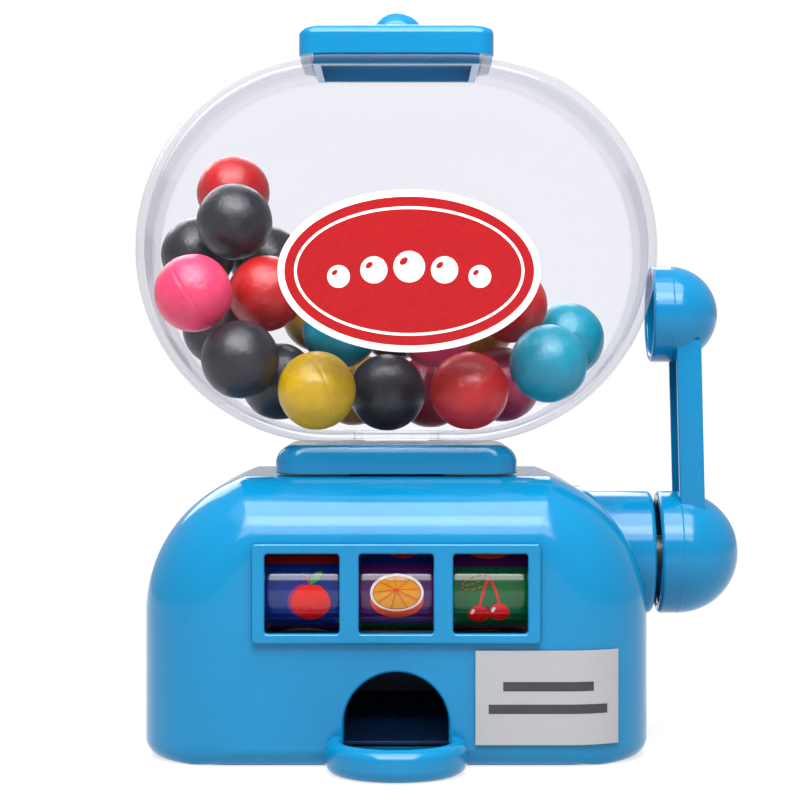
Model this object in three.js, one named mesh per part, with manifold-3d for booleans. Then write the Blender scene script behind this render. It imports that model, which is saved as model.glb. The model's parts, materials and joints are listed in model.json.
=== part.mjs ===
// Toy gumball machine with a pull lever and three fruit reels, in millimetres.
// +Z is up, -Y is the front, and the origin is the middle of the underside.
import * as THREE from "three";
import { mergeVertices } from "three/addons/utils/BufferGeometryUtils.js";
import Module from "manifold-3d";

const wasm = await Module();
wasm.setup();

// ---------------------------------------------------------------- driving dimensions
const GAP = 0.3; // clearance between neighbouring pieces
const QUARTER = Math.PI / 2;

const housing = {
  halfWidth: 41.4,
  depth: 50,
  height: 46,
  wall: 1.8,
  shoulderRadius: 23.7,
  shoulderCrown: 1.1, // how far the shoulder arc would rise above the flat top
  cornerRadius: 14.5, // upright front corners, seen from above
  topFillet: 12, // front edge of the top
  backFillet: 1.5,
  bottomFillet: 3,
};
const gumball = { radius: 6.6 };
const bowl = {
  radius: 31.9,
  straightHalf: 10.95, // half of the straight run between the two round ends
  depth: 50,
  fillet: 13,
  wall: 1.4,
};
const saddle = { halfWidth: 19.9, halfDepth: 15, height: 4.7, topFillet: 3, cornerRadius: 4 };
const lid = {
  halfWidth: 16,
  halfDepth: 14,
  height: 4.85,
  plugWall: 1.2,
  plugDrop: 1.5,
  plugInset: 2, // from the brim's edge to the bowl's mouth
  roof: 2,
  knobRadius: 4.75,
};
const bezel = {
  halfWidth: 23,
  halfHeight: 8,
  proud: 1,
  recess: 0.8,
  cornerRadius: 0.6,
  windowHalfWidth: 5.95,
  windowHalfHeight: 6.35,
};
const reel = { radius: 6.9, width: 12.6, pitch: 15, belowTop: 18.25, rim: 1, hub: 3.2, web: 1.6 };
const reelShaftRadius = 1.5;
const tray = { reach: 15.3, sideLand: 2.85, height: 5.1, floor: 1.6, rim: 3.6, round: 1.7 };
const lever = {
  axisY: 5,
  belowTop: 14, // from the housing's top down to the lever's axis
  shaftRadius: 2.85,
  cupWall: 1.6,
  hubRadius: 10.49,
  hubRimX: 44.7,
  hubCentreX: 48.25,
  knobRadius: 8.2,
  knobRimX: 43.5,
  knobCentreX: 46.9,
  reach: 40.9, // from the axis up to the middle of the knob
  armWidth: 4.25,
  armTopX: 51.7,
  armLean: 0.75, // how much further out the arm is at its foot
  armHalfDepth: 6,
  armWall: 1.1,
  postRadius: 5,
};
const boss = { radius: 10.5, innerX: 28, outerX: 43.8, wall: 1.8 };
const barrel = { radius: 11.5, endWall: 1.6, endPlay: 0.5 };
const shroudWall = 0.9;
const shroudEnd = 1.4;
const throat = { radius: 7.4, wall: 0.8, flangeRadius: 10.5, flange: 0.8 };
const gears = { plane: 23.8, width: 2.6, drive: 20, idler: 10, pinion: 13 };
const bracket = { faceX: 22, thickness: 1.4, foot: 6, margin: 5 };
const screw = { radius: 1.2, headRadius: 2.6, head: 1, length: 9, recess: 1.5 };
const badge = { halfWidth: 20.9, halfHeight: 12.9, x: 2.06, belowCentre: 4.2, thickness: 0.3 };
const label = { fromX: 12.6, low: 3.7, high: 18.7, wrap: 0.61, thickness: 0.3 };
const basePlate = { thickness: 1.8 };
const bearing = { outer: 5, flangeRadius: 6.5, flange: 1.2 };
const spring = { wireRadius: 0.45, meanRadius: 4.2, turns: 5, wireSides: 5, stepsPerTurn: 11 };
const chute = { wall: 1, lip: 0.6, side: 4.5, slopeDegrees: 6.3 };
const idlerPin = { radius: 1.2, headRadius: 2, headLength: 0.9 };
const post = { radius: 4, length: 8 };
const upperScrew = { fromSide: 10.2, fromTop: 9.8 };
const lowerScrew = { fromSide: 5.2, height: 9 };
const baseScrew = { fromSide: 5.2, y: -5 };

// ---------------------------------------------------------------- places worked out from them
const frontY = -housing.depth / 2;
const backY = housing.depth / 2;
const roofZ = housing.height - housing.wall;
const leverZ = housing.height - lever.belowTop;
const reelZ = housing.height - reel.belowTop;
const reelY = frontY + housing.wall + GAP + 0.2 + reel.radius;
const pocketHalfWidth = gumball.radius + GAP;
const barrelHalf = pocketHalfWidth + barrel.endWall;
const shroudRadius = barrel.radius + 0.4;
const shroudOuter = shroudRadius + shroudWall;
const shroudHalf = barrelHalf + barrel.endPlay;
const saddleTop = housing.height + GAP + saddle.height;
const bowlBottom = saddleTop + GAP;
const bowlCentreZ = bowlBottom + bowl.radius;
const bowlTop = bowlCentreZ + bowl.radius;
const bowlHalfWidth = bowl.straightHalf + bowl.radius;
const archHalf = gumball.radius + 1.8;
const archCrown = tray.floor + 2 * gumball.radius + 0.4;
const trayHalf = archHalf + tray.sideLand;
const plateTop = basePlate.thickness + GAP;
const gearDistance = Math.hypot(lever.axisY - reelY, leverZ - reelZ);
const gearModule = (2 * gearDistance) / (gears.drive + 2 * gears.idler + gears.pinion);
const boreRadius = lever.shaftRadius + GAP;

// ---------------------------------------------------------------- colours
const BLUE = new THREE.Color(0.2, 0.62, 0.86);
const WHITE_PLASTIC = new THREE.Color(0.92, 0.92, 0.9);
const STEEL = new THREE.Color(0.72, 0.73, 0.75);
const CLEAR = new THREE.Color(0.93, 0.95, 0.98);
const BADGE_RED = new THREE.Color(0.8, 0.1, 0.12);
const PAPER = new THREE.Color(0.88, 0.88, 0.9);
const REEL_COLOURS = {
  left: new THREE.Color(0.1, 0.2, 0.5),
  middle: new THREE.Color(0.35, 0.12, 0.42),
  right: new THREE.Color(0.1, 0.35, 0.2),
};
const GUM = {
  red: new THREE.Color(0.83, 0.17, 0.16),
  black: new THREE.Color(0.13, 0.13, 0.15),
  pink: new THREE.Color(0.93, 0.25, 0.5),
  yellow: new THREE.Color(0.9, 0.77, 0.16),
  ochre: new THREE.Color(0.78, 0.6, 0.16),
  teal: new THREE.Color(0.12, 0.55, 0.63),
  crimson: new THREE.Color(0.72, 0.12, 0.3),
};

// ---------------------------------------------------------------- small tools
const machine = new THREE.Group();

function solid(geometry) {
  const bare = geometry.index ? geometry.toNonIndexed() : geometry.clone();
  for (const name of Object.keys(bare.attributes)) {
    if (name !== "position") bare.deleteAttribute(name);
  }
  const merged = mergeVertices(bare, 1e-4);
  const corners = merged.index.array;
  const kept = [];
  for (let i = 0; i < corners.length; i += 3) {
    const [a, b, c] = corners.slice(i, i + 3);
    if (a !== b && b !== c && c !== a) kept.push(a, b, c);
  }
  const vertProperties = merged.attributes.position.array;
  const triVerts = new Uint32Array(kept);
  return new wasm.Manifold(new wasm.Mesh({ numProp: 3, vertProperties, triVerts }));
}

function add(name, made, color, roughness, metalness = 0) {
  const { vertProperties, triVerts, numProp } = made.getMesh();
  const positions = new Float32Array((vertProperties.length / numProp) * 3);
  for (let i = 0; i < positions.length / 3; i++) {
    positions.set(vertProperties.subarray(i * numProp, i * numProp + 3), i * 3);
  }
  const geometry = new THREE.BufferGeometry();
  geometry.setAttribute("position", new THREE.BufferAttribute(positions, 3));
  geometry.setIndex(Array.from(triVerts));
  geometry.computeVertexNormals();
  const material = new THREE.MeshStandardMaterial({ color, roughness, metalness });
  const mesh = new THREE.Mesh(geometry, material);
  mesh.name = name;
  machine.add(mesh);
  return mesh;
}

function box(x0, x1, y0, y1, z0, z1) {
  const geometry = new THREE.BoxGeometry(x1 - x0, y1 - y0, z1 - z0);
  return solid(geometry.translate((x0 + x1) / 2, (y0 + y1) / 2, (z0 + z1) / 2));
}

// A solid of revolution about the X, Y or Z direction: the profile is [radius, along] pairs.
function turned(axis, profile, segments = 32, [x, y, z] = [0, 0, 0]) {
  const points = profile.map(([radius, along]) => new THREE.Vector2(radius, along));
  const geometry = new THREE.LatheGeometry(points, segments);
  if (axis === "x") geometry.rotateZ(-QUARTER);
  if (axis === "z") geometry.rotateX(QUARTER);
  return solid(geometry.translate(x, y, z));
}

function rod(axis, radius, from, to, segments = 32, place = [0, 0, 0]) {
  return turned(axis, [[0, from], [radius, from], [radius, to], [0, to]], segments, place);
}

function tube(axis, inner, outer, from, to, segments = 32, place = [0, 0, 0]) {
  const profile = [[inner, from], [outer, from], [outer, to], [inner, to], [inner, from]];
  return turned(axis, profile, segments, place);
}

// A flat outline of [y, z] pairs, given thickness along X.
function plateAcrossX(points, fromX, toX) {
  const shape = new THREE.Shape(points.map(([y, z]) => new THREE.Vector2(y, z)));
  return extrudedAlongX(shape, fromX, toX);
}

function extrudedAlongX(shape, fromX, toX, curveSegments = 12) {
  const geometry = new THREE.ExtrudeGeometry(shape, {
    depth: toX - fromX,
    bevelEnabled: false,
    curveSegments,
  });
  const yToX = new THREE.Matrix4().makeBasis(
    new THREE.Vector3(0, 1, 0),
    new THREE.Vector3(0, 0, 1),
    new THREE.Vector3(1, 0, 0),
  );
  return solid(geometry.applyMatrix4(yToX).translate(fromX, 0, 0));
}

// How far an edge rounded by this radius is set in, at a depth from the face.
function filletInset(radius, depth) {
  const left = radius - Math.max(depth, 0);
  return left > 0 ? radius - Math.sqrt(radius * radius - left * left) : 0;
}

// Stations from low to high, with the inset that rounds each end by its own fillet.
function roundedEnds(low, high, lowFillet, highFillet, steps) {
  const end = (fillet) => {
    const count = fillet > 0 ? steps : 0;
    return Array.from({ length: count + 1 }, (_, i) => {
      const angle = count ? (QUARTER * i) / count : 0;
      return { in: fillet * (1 - Math.cos(angle)), inset: fillet * (1 - Math.sin(angle)) };
    });
  };
  const lowEnd = end(lowFillet).map((s) => ({ at: low + s.in, inset: s.inset }));
  const highEnd = end(highFillet).map((s) => ({ at: high - s.in, inset: s.inset }));
  return [...lowEnd, ...highEnd.reverse()];
}

// A convex solid through outlines of [u, v] pairs that stand along Y (u = x, v = z) or Z (u = x, v = y).
function loft(axis, stations, outline) {
  const rings = stations.map((station) => outline(station));
  const count = rings[0].length;
  const positions = rings.flatMap((ring, i) =>
    ring.flatMap(([u, v]) => (axis === "z" ? [u, v, stations[i].at] : [u, stations[i].at, v])),
  );
  const index = [];
  const face = (a, b, c) => (axis === "z" ? index.push(a, b, c) : index.push(a, c, b));
  for (let r = 0; r + 1 < rings.length; r++) {
    for (let i = 0; i < count; i++) {
      const a = r * count + i;
      const b = r * count + ((i + 1) % count);
      face(a, b, b + count);
      face(a, b + count, a + count);
    }
  }
  const last = (rings.length - 1) * count;
  for (let i = 1; i + 1 < count; i++) {
    face(0, i + 1, i);
    face(last, last + i, last + i + 1);
  }
  const geometry = new THREE.BufferGeometry();
  geometry.setAttribute("position", new THREE.Float32BufferAttribute(positions, 3));
  geometry.setIndex(index);
  return solid(geometry);
}

function arc(centreU, centreV, radiusU, radiusV, from, to, steps) {
  return Array.from({ length: steps + 1 }, (_, i) => {
    const angle = from + ((to - from) * i) / steps;
    return [centreU + radiusU * Math.cos(angle), centreV + radiusV * Math.sin(angle)];
  });
}

function roundedRectangle(halfWidth, halfHeight, radius, steps, centreV = 0) {
  const corners = [[1, 1], [-1, 1], [-1, -1], [1, -1]];
  return corners.flatMap(([sideU, sideV], i) => {
    const u = sideU * (halfWidth - radius);
    const v = centreV + sideV * (halfHeight - radius);
    return arc(u, v, radius, radius, QUARTER * i, QUARTER * (i + 1), steps);
  });
}

// ---------------------------------------------------------------- housing
// The housing's cross-section at a station along Y, set in by a wall; the cavity runs out below.
function housingSection({ at }, wall) {
  const outside = wall === 0;
  const depth = at - frontY - wall;
  const back = outside ? filletInset(housing.backFillet, backY - at) : 0;
  const side = wall + back + filletInset(housing.cornerRadius - wall, depth);
  const top = wall + back + filletInset(housing.topFillet - wall, depth);
  const floor = outside ? back + filletInset(housing.bottomFillet, depth) : -10;
  const corner = housing.bottomFillet;
  const halfWidth = housing.halfWidth - side;
  const centreX = housing.halfWidth - housing.shoulderRadius;
  const centreZ = housing.height + housing.shoulderCrown - housing.shoulderRadius;
  const shoulderX = halfWidth - centreX;
  const shoulderZ = housing.shoulderRadius - top;
  const cut = Math.asin((housing.height - top - centreZ) / shoulderZ);
  const right = [
    ...arc(halfWidth - corner, floor + corner, corner, corner, -QUARTER, 0, 2),
    ...arc(centreX, centreZ, shoulderX, shoulderZ, 0, cut, 8),
  ];
  const left = right.map(([x, z]) => [-x, z]).reverse();
  return [...right, ...left];
}

function housingSolid(wall) {
  const outside = wall === 0;
  const high = outside ? backY : backY + 5;
  const backFillet = outside ? housing.backFillet : 0;
  const fillet = housing.cornerRadius - wall;
  const stations = roundedEnds(frontY + wall, high, fillet, backFillet, 6);
  return loft("y", stations, (station) => housingSection(station, wall));
}

const backScrewPlaces = [-1, 1].flatMap((side) => [
  [side * (housing.halfWidth - upperScrew.fromSide), housing.height - upperScrew.fromTop],
  [side * (housing.halfWidth - lowerScrew.fromSide), lowerScrew.height],
]);
const baseScrewPlaces = [-1, 1].map((side) => [
  side * (housing.halfWidth - baseScrew.fromSide),
  baseScrew.y,
]);

// The arch is cut down to the underside, where the tray's tongue passes.
function archSolid(clear, fromY, toY) {
  const half = archHalf + clear;
  const spring = archCrown - archHalf;
  const outline = [...arc(0, spring, half, half, 0, Math.PI, 14), [-half, -5], [half, -5]];
  const stations = [{ at: fromY }, { at: toY }];
  return loft("y", stations, () => outline);
}

function windows(clear, fromY, toY) {
  const half = bezel.windowHalfWidth + clear;
  const low = reelZ - bezel.windowHalfHeight - clear;
  const high = reelZ + bezel.windowHalfHeight + clear;
  const cuts = [-1, 0, 1].map((i) => {
    const x = i * reel.pitch;
    return box(x - half, x + half, fromY, toY, low, high);
  });
  return wasm.Manifold.union(cuts);
}

function bezelBlock(clear, fromY, toY) {
  const stations = [{ at: fromY }, { at: toY }];
  const radius = bezel.cornerRadius + clear;
  const outline = roundedRectangle(
    bezel.halfWidth + clear, bezel.halfHeight + clear, radius, 3, reelZ,
  );
  return loft("y", stations, () => outline);
}

const cavity = housingSolid(housing.wall);
const coverFaceY = backY - housing.wall;
const coverPadY = coverFaceY - 2;

function makeHousing() {
  const posts = backScrewPlaces.map(([x, z]) => {
    const to = coverPadY - GAP;
    return rod("y", post.radius, to - post.length, to, 16, [x, 0, z]);
  });
  const basePosts = baseScrewPlaces.map(([x, y]) =>
    rod("z", post.radius, plateTop, plateTop + post.length, 16, [x, y, 0]),
  );
  const within = housingSolid(housing.wall / 2);
  const shell = housingSolid(0).subtract(cavity);
  const bodies = [shell, ...[...posts, ...basePosts].map((one) => one.intersect(within))];
  const pilot = screw.radius + GAP;
  const cuts = [
    bezelBlock(GAP, frontY - 1, frontY + bezel.recess),
    windows(GAP, frontY - 1, frontY + 5),
    archSolid(0, frontY - 1, frontY + 5),
    rod("x", boss.radius + GAP, boss.innerX - 1, 60, 40, [0, lever.axisY, leverZ]),
    rod("z", throat.radius + throat.wall + GAP, roofZ - 1, housing.height + 1, 32, [0, lever.axisY, 0]),
    ...backScrewPlaces.map(([x, z]) => rod("y", pilot, 10, backY, 12, [x, 0, z])),
    ...baseScrewPlaces.map(([x, y]) => rod("z", pilot, 0, plateTop + post.length + 1, 12, [x, y, 0])),
  ];
  return wasm.Manifold.union(bodies).subtract(wasm.Manifold.union(cuts));
}
add("base_housing", makeHousing(), BLUE, 0.25);

// The back cover lies inside the housing's rim, flush with its back edge.
function makeBackCover() {
  const outline = housingSection({ at: 0 }, housing.wall + GAP).map(([x, z]) => [x, Math.max(z, GAP)]);
  const slab = (from, to) => loft("y", [{ at: from }, { at: to }], () => outline);
  const pads = backScrewPlaces.map(([x, z]) =>
    rod("y", post.radius + 1, coverPadY, coverFaceY, 12, [x, 0, z]),
  );
  const padded = wasm.Manifold.union(pads).intersect(slab(coverPadY - 1, backY));
  const holes = backScrewPlaces.flatMap(([x, z]) => [
    rod("y", screw.radius + GAP, coverPadY - 1, backY + 1, 12, [x, 0, z]),
    rod("y", screw.headRadius + GAP, backY - screw.recess, backY + 1, 16, [x, 0, z]),
  ]);
  return slab(coverFaceY, backY).add(padded).subtract(wasm.Manifold.union(holes));
}
add("back_cover", makeBackCover(), BLUE, 0.3);

// The base plate closes the housing below and is notched for the tray's tongue.
const tongueEndY = frontY + 9;
function makeBasePlate() {
  const half = housing.halfWidth - housing.wall - GAP;
  const front = frontY + housing.wall + GAP;
  const back = coverFaceY - GAP;
  const radius = housing.cornerRadius - housing.wall - GAP;
  const corners = [
    ...arc(half - radius, front + radius, radius, radius, -QUARTER, 0, 8),
    [half, back],
    [-half, back],
    ...arc(-half + radius, front + radius, radius, radius, 2 * QUARTER, 3 * QUARTER, 8),
  ];
  const slab = loft("z", [{ at: 0 }, { at: basePlate.thickness }], () => corners);
  const holes = baseScrewPlaces.flatMap(([x, y]) => [
    rod("z", screw.radius + GAP, -1, plateTop, 12, [x, y, 0]),
    rod("z", screw.headRadius + GAP, -1, screw.recess, 20, [x, y, 0]),
  ]);
  const notch = box(-archHalf, archHalf, frontY, tongueEndY + GAP, -1, plateTop);
  return slab.subtract(wasm.Manifold.union([...holes, notch]));
}
add("base_plate", makeBasePlate(), BLUE, 0.35);

function makeBezel() {
  const back = frontY + bezel.recess - GAP;
  const frame = bezelBlock(0, frontY - bezel.proud, back);
  return frame.subtract(windows(0, frontY - 5, frontY + 5));
}
add("reel_bezel", makeBezel(), BLUE, 0.25);

// ---------------------------------------------------------------- screws
// A pan-head screw that points along -Z from the underside of its head, with a crossed recess.
function screwSolid() {
  const profile = [
    [0, -screw.length],
    [screw.radius * 0.5, -screw.length],
    [screw.radius, -screw.length + 1.2],
    [screw.radius, 0],
    [screw.headRadius, 0],
    [screw.headRadius, screw.head * 0.6],
    [screw.headRadius * 0.7, screw.head],
    [0, screw.head],
  ];
  const slotDepth = screw.head * 0.5;
  const slotHalf = 0.3;
  const slotLength = screw.headRadius * 0.6;
  const slots = [
    box(-slotLength, slotLength, -slotHalf, slotHalf, screw.head - slotDepth, screw.head + 1),
    box(-slotHalf, slotHalf, -slotLength, slotLength, screw.head - slotDepth, screw.head + 1),
  ];
  return turned("z", profile, 12).subtract(wasm.Manifold.union(slots));
}

function addScrew(name, place, turn) {
  const mesh = add(name, screwSolid(), STEEL, 0.35, 0.9);
  mesh.position.set(...place);
  mesh.rotation.set(...turn);
}
backScrewPlaces.forEach(([x, z], i) => {
  const seatY = backY - screw.recess + GAP;
  addScrew(`back_screw_${i + 1}`, [x, seatY, z], [-QUARTER, 0, 0]);
});
baseScrewPlaces.forEach(([x, y], i) => {
  addScrew(`base_screw_${i + 1}`, [x, y, screw.recess - GAP], [Math.PI, 0, 0]);
});
// ---------------------------------------------------------------- catch tray
// The tray's half-round plan, set in by an inset; its tongue runs back under the arch.
function trayOutline(inset) {
  const half = trayHalf - inset;
  const back = frontY - GAP;
  const centreY = frontY - tray.reach + trayHalf;
  return [[half, back], [-half, back], ...arc(0, centreY, half, half, Math.PI, 2 * Math.PI, 14)];
}

function makeTray() {
  const outline = ({ inset }) => trayOutline(inset);
  const outside = loft("z", roundedEnds(0, tray.height, tray.round, tray.round, 4), outline);
  const bottom = roundedEnds(tray.floor, tray.height + 1, 1, 0, 3);
  const dish = loft("z", bottom, ({ inset }) => trayOutline(tray.rim + inset));
  const lip = roundedEnds(tray.height - tray.round, tray.height, 0, tray.round, 4);
  const flare = loft("z", lip, ({ inset }) => trayOutline(tray.rim - inset));
  const mouth = box(-archHalf, archHalf, frontY - tray.rim * 2, frontY, tray.floor, tray.height + 1);
  const half = archHalf - GAP;
  const tongue = box(-half, half, frontY - 1, tongueEndY, 0, tray.floor);
  return outside.subtract(dish).subtract(flare).subtract(mouth).add(tongue);
}
add("catch_tray", makeTray(), BLUE, 0.25);

// ---------------------------------------------------------------- bowl and saddle
function makeSaddle() {
  const low = housing.height + GAP;
  const stations = roundedEnds(low, saddleTop, 0, saddle.topFillet, 4);
  const block = loft("z", stations, ({ inset }) => {
    const radius = saddle.cornerRadius;
    return roundedRectangle(saddle.halfWidth - inset, saddle.halfDepth - inset * 0.3, radius, 4);
  });
  const place = [0, lever.axisY, 0];
  const bore = rod("z", throat.radius + throat.wall + GAP, low - 1, saddleTop + 1, 32, place);
  const seatDepth = throat.flange + GAP;
  const seat = rod("z", throat.flangeRadius + GAP, saddleTop - seatDepth, saddleTop + 1, 32, place);
  return block.subtract(bore).subtract(seat);
}
add("bowl_saddle", makeSaddle(), BLUE, 0.25);

// The bowl's form, grown outwards by a margin: a stadium with round front and rear edges.
function bowlForm(margin) {
  const ends = bowl.fillet + margin;
  const stations = roundedEnds(-bowl.depth / 2 - margin, bowl.depth / 2 + margin, ends, ends, 5);
  return loft("y", stations, ({ inset }) => {
    const radius = bowl.radius + margin - inset;
    return roundedRectangle(bowl.straightHalf + radius, radius, radius, 8, bowlCentreZ);
  });
}

const mouthHalfWidth = lid.halfWidth - lid.plugInset;
const mouthHalfDepth = lid.halfDepth - lid.plugInset;

function makeBowlHalves() {
  const mouthLow = bowlCentreZ + bowl.radius / 2;
  const cuts = [
    bowlForm(-bowl.wall),
    box(-mouthHalfWidth, mouthHalfWidth, -mouthHalfDepth, mouthHalfDepth, mouthLow, bowlTop + 1),
    rod("z", throat.radius, bowlBottom - 1, bowlCentreZ, 32, [0, lever.axisY, 0]),
  ];
  const shell = bowlForm(0).subtract(wasm.Manifold.union(cuts));
  const reach = bowlHalfWidth + 1;
  const half = (fromY, toY) => shell.intersect(box(-reach, reach, fromY, toY, 0, bowlTop + 1));
  return [half(-bowl.depth, -GAP / 2), half(GAP / 2, bowl.depth)];
}
const [bowlFront, bowlRear] = makeBowlHalves();
for (const [name, made] of [["bowl_front", bowlFront], ["bowl_rear", bowlRear]]) {
  const { material } = add(name, made, CLEAR, 0.05);
  material.transparent = true;
  material.opacity = 0.25;
}

// The lid's brim follows the bowl's top, and its hollow plug drops into the bowl's mouth.
function makeLid() {
  const top = bowlTop + lid.height;
  const brim = loft("z", roundedEnds(bowlTop - 3, top, 0, 0.8, 4), ({ inset }) =>
    roundedRectangle(lid.halfWidth - inset, lid.halfDepth - inset, 1.4, 3),
  ).subtract(bowlForm(GAP));
  const plugHalf = [mouthHalfWidth - GAP, mouthHalfDepth - GAP];
  const plugLow = bowlTop - lid.plugDrop;
  const plug = box(-plugHalf[0], plugHalf[0], -plugHalf[1], plugHalf[1], plugLow, top - lid.roof);
  const [u, v] = plugHalf.map((half) => half - lid.plugWall);
  const hollow = box(-u, u, -v, v, plugLow - 1, top - lid.roof);
  const knobCentre = top - 0.7;
  const knob = turned("z", arc(0, knobCentre, lid.knobRadius, lid.knobRadius, -QUARTER, QUARTER, 9), 20);
  return brim.add(plug).add(knob).subtract(hollow);
}
add("refill_lid", makeLid(), BLUE, 0.25);

// ---------------------------------------------------------------- badge and label
function makeBadge() {
  const back = -bowl.depth / 2 - GAP;
  const z = bowlCentreZ - badge.belowCentre;
  const outline = arc(badge.x, z, badge.halfWidth, badge.halfHeight, 0, 2 * Math.PI, 40).slice(1);
  return loft("y", [{ at: back - badge.thickness }, { at: back }], () => outline);
}
add("bowl_badge", makeBadge(), BADGE_RED, 0.3);

// The paper label lies on the flat front and wraps round the upright corner.
function makeLabel() {
  const turnX = housing.halfWidth - housing.cornerRadius;
  const turnY = frontY + housing.cornerRadius;
  const shape = new THREE.Shape();
  const inner = housing.cornerRadius + GAP;
  const outer = inner + label.thickness;
  const end = -QUARTER + label.wrap;
  shape.moveTo(label.fromX, frontY - GAP);
  shape.lineTo(label.fromX, frontY - GAP - label.thickness);
  shape.absarc(turnX, turnY, outer, -QUARTER, end, false);
  shape.absarc(turnX, turnY, inner, end, -QUARTER, true);
  const depth = label.high - label.low;
  const geometry = new THREE.ExtrudeGeometry(shape, { depth, bevelEnabled: false, curveSegments: 8 });
  return solid(geometry.translate(0, 0, label.low));
}
add("paper_label", makeLabel(), PAPER, 0.6);

// ---------------------------------------------------------------- lever and metering barrel
// One moulding: the hub cup, the channel arm and the knob cup, all open towards the machine.
function cupProfile(radius, rimX, centreX, wall) {
  const along = (x, r) => [r, x];
  const outer = arc(centreX, 0, radius, radius, 0, QUARTER, 7).map(([x, r]) => along(x, r));
  const inner = arc(centreX, 0, radius - wall, radius - wall, 0, QUARTER, 5).map(([x, r]) => along(x, r));
  return [...outer, [radius, rimX], [radius - wall, rimX], ...inner.reverse()].reverse();
}

function makeHandle() {
  const axis = [0, lever.axisY, leverZ];
  const { hubRadius, hubRimX, hubCentreX, knobRadius, knobRimX, knobCentreX, cupWall } = lever;
  const hub = turned("x", cupProfile(hubRadius, hubRimX, hubCentreX, cupWall), 24, axis);
  const knobPlace = [0, lever.axisY, leverZ + lever.reach];
  const knob = turned("x", cupProfile(knobRadius, knobRimX, knobCentreX, cupWall * 0.75), 20, knobPlace);
  const postEnd = hubCentreX + hubRadius - cupWall;
  const grip = rod("x", lever.postRadius, hubRimX + 1.8, postEnd, 18, axis);
  const bore = rod("x", boreRadius, hubRimX, postEnd - 1.8, 16, axis);
  const armLow = leverZ + Math.sqrt(hubRadius ** 2 - lever.armHalfDepth ** 2) - cupWall;
  const armHigh = leverZ + lever.reach - 4.4;
  const { armTopX, armLean, armWidth, armHalfDepth, armWall } = lever;
  const lean = armLean / (armHigh - armLow);
  const channel = (inset, from, to, outX) => {
    const half = armHalfDepth - inset;
    const stations = [{ at: from }, { at: to }];
    return loft("z", stations, ({ at }) => {
      const x = outX + (armHigh - at) * lean;
      const near = x - armWidth - inset * 2;
      const y = lever.axisY;
      return [[x - inset, y - half], [x - inset, y + half], [near, y + half], [near, y - half]];
    });
  };
  const arm = channel(0, armLow, armHigh, armTopX);
  const groove = channel(armWall, armLow - 1, armHigh + 1, armTopX);
  const hollowed = arm.subtract(groove);
  const inKnob = turned("x", [[0, knobRimX], [knobRadius - 1, knobRimX], [knobRadius - 1, knobCentreX],
    [0, knobCentreX + knobRadius - 1]], 20, knobPlace);
  return hub.add(grip).subtract(bore).add(knob).add(hollowed.subtract(inKnob));
}
add("lever_handle", makeHandle(), BLUE, 0.25);

const leverAxis = [0, lever.axisY, leverZ];
const stubEnd = shroudHalf + shroudEnd + GAP * 2;
const tangEnd = stubEnd + 4;
const tangHalf = lever.shaftRadius * 0.55;
const shaftEnd = lever.hubCentreX + lever.hubRadius - lever.cupWall - 2.4;

function makeBoss() {
  const { radius, innerX, outerX, wall } = boss;
  const edge = 0.8;
  const profile = [
    [boreRadius, outerX],
    [boreRadius, innerX + 2],
    [boreRadius + wall, innerX + 2],
    [boreRadius + wall, outerX - wall],
    [radius - wall, outerX - wall],
    [radius - wall, innerX],
    [radius, innerX],
    [radius, outerX - edge],
    [radius - edge, outerX],
    [boreRadius, outerX],
  ];
  return turned("x", profile, 32, leverAxis);
}
add("lever_boss", makeBoss(), BLUE, 0.25);

// The barrel's pocket is a right-angled notch that holds one gumball just below the rim.
function makeBarrel() {
  const drum = rod("x", barrel.radius, -barrelHalf, barrelHalf, 36, leverAxis);
  const seated = barrel.radius - gumball.radius + 0.1;
  const apexZ = leverZ + seated - gumball.radius * Math.SQRT2;
  const side = 2 * barrel.radius;
  const notch = new THREE.BoxGeometry(2 * pocketHalfWidth, side, side);
  notch.rotateX(QUARTER / 2).translate(0, lever.axisY, apexZ + side * Math.SQRT1_2);
  const stubs = rod("x", lever.shaftRadius, -stubEnd - 2, stubEnd, 20, leverAxis).subtract(
    box(-barrelHalf, barrelHalf, -20, 20, 0, 2 * leverZ),
  );
  const y = lever.axisY;
  const tang = box(barrelHalf, tangEnd, y - tangHalf, y + tangHalf, leverZ - tangHalf, leverZ + tangHalf);
  return drum.subtract(solid(notch)).add(stubs).add(tang);
}
add("metering_barrel", makeBarrel(), WHITE_PLASTIC, 0.4);

function makeLeverShaft() {
  const rodPart = rod("x", lever.shaftRadius, stubEnd + GAP, shaftEnd, 20, leverAxis);
  const half = tangHalf + GAP;
  const y = lever.axisY;
  const socket = box(stubEnd, tangEnd + GAP, y - half, y + half, leverZ - half, leverZ + half);
  return rodPart.subtract(socket);
}
add("lever_shaft", makeLeverShaft(), STEEL, 0.3, 0.9);

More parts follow.
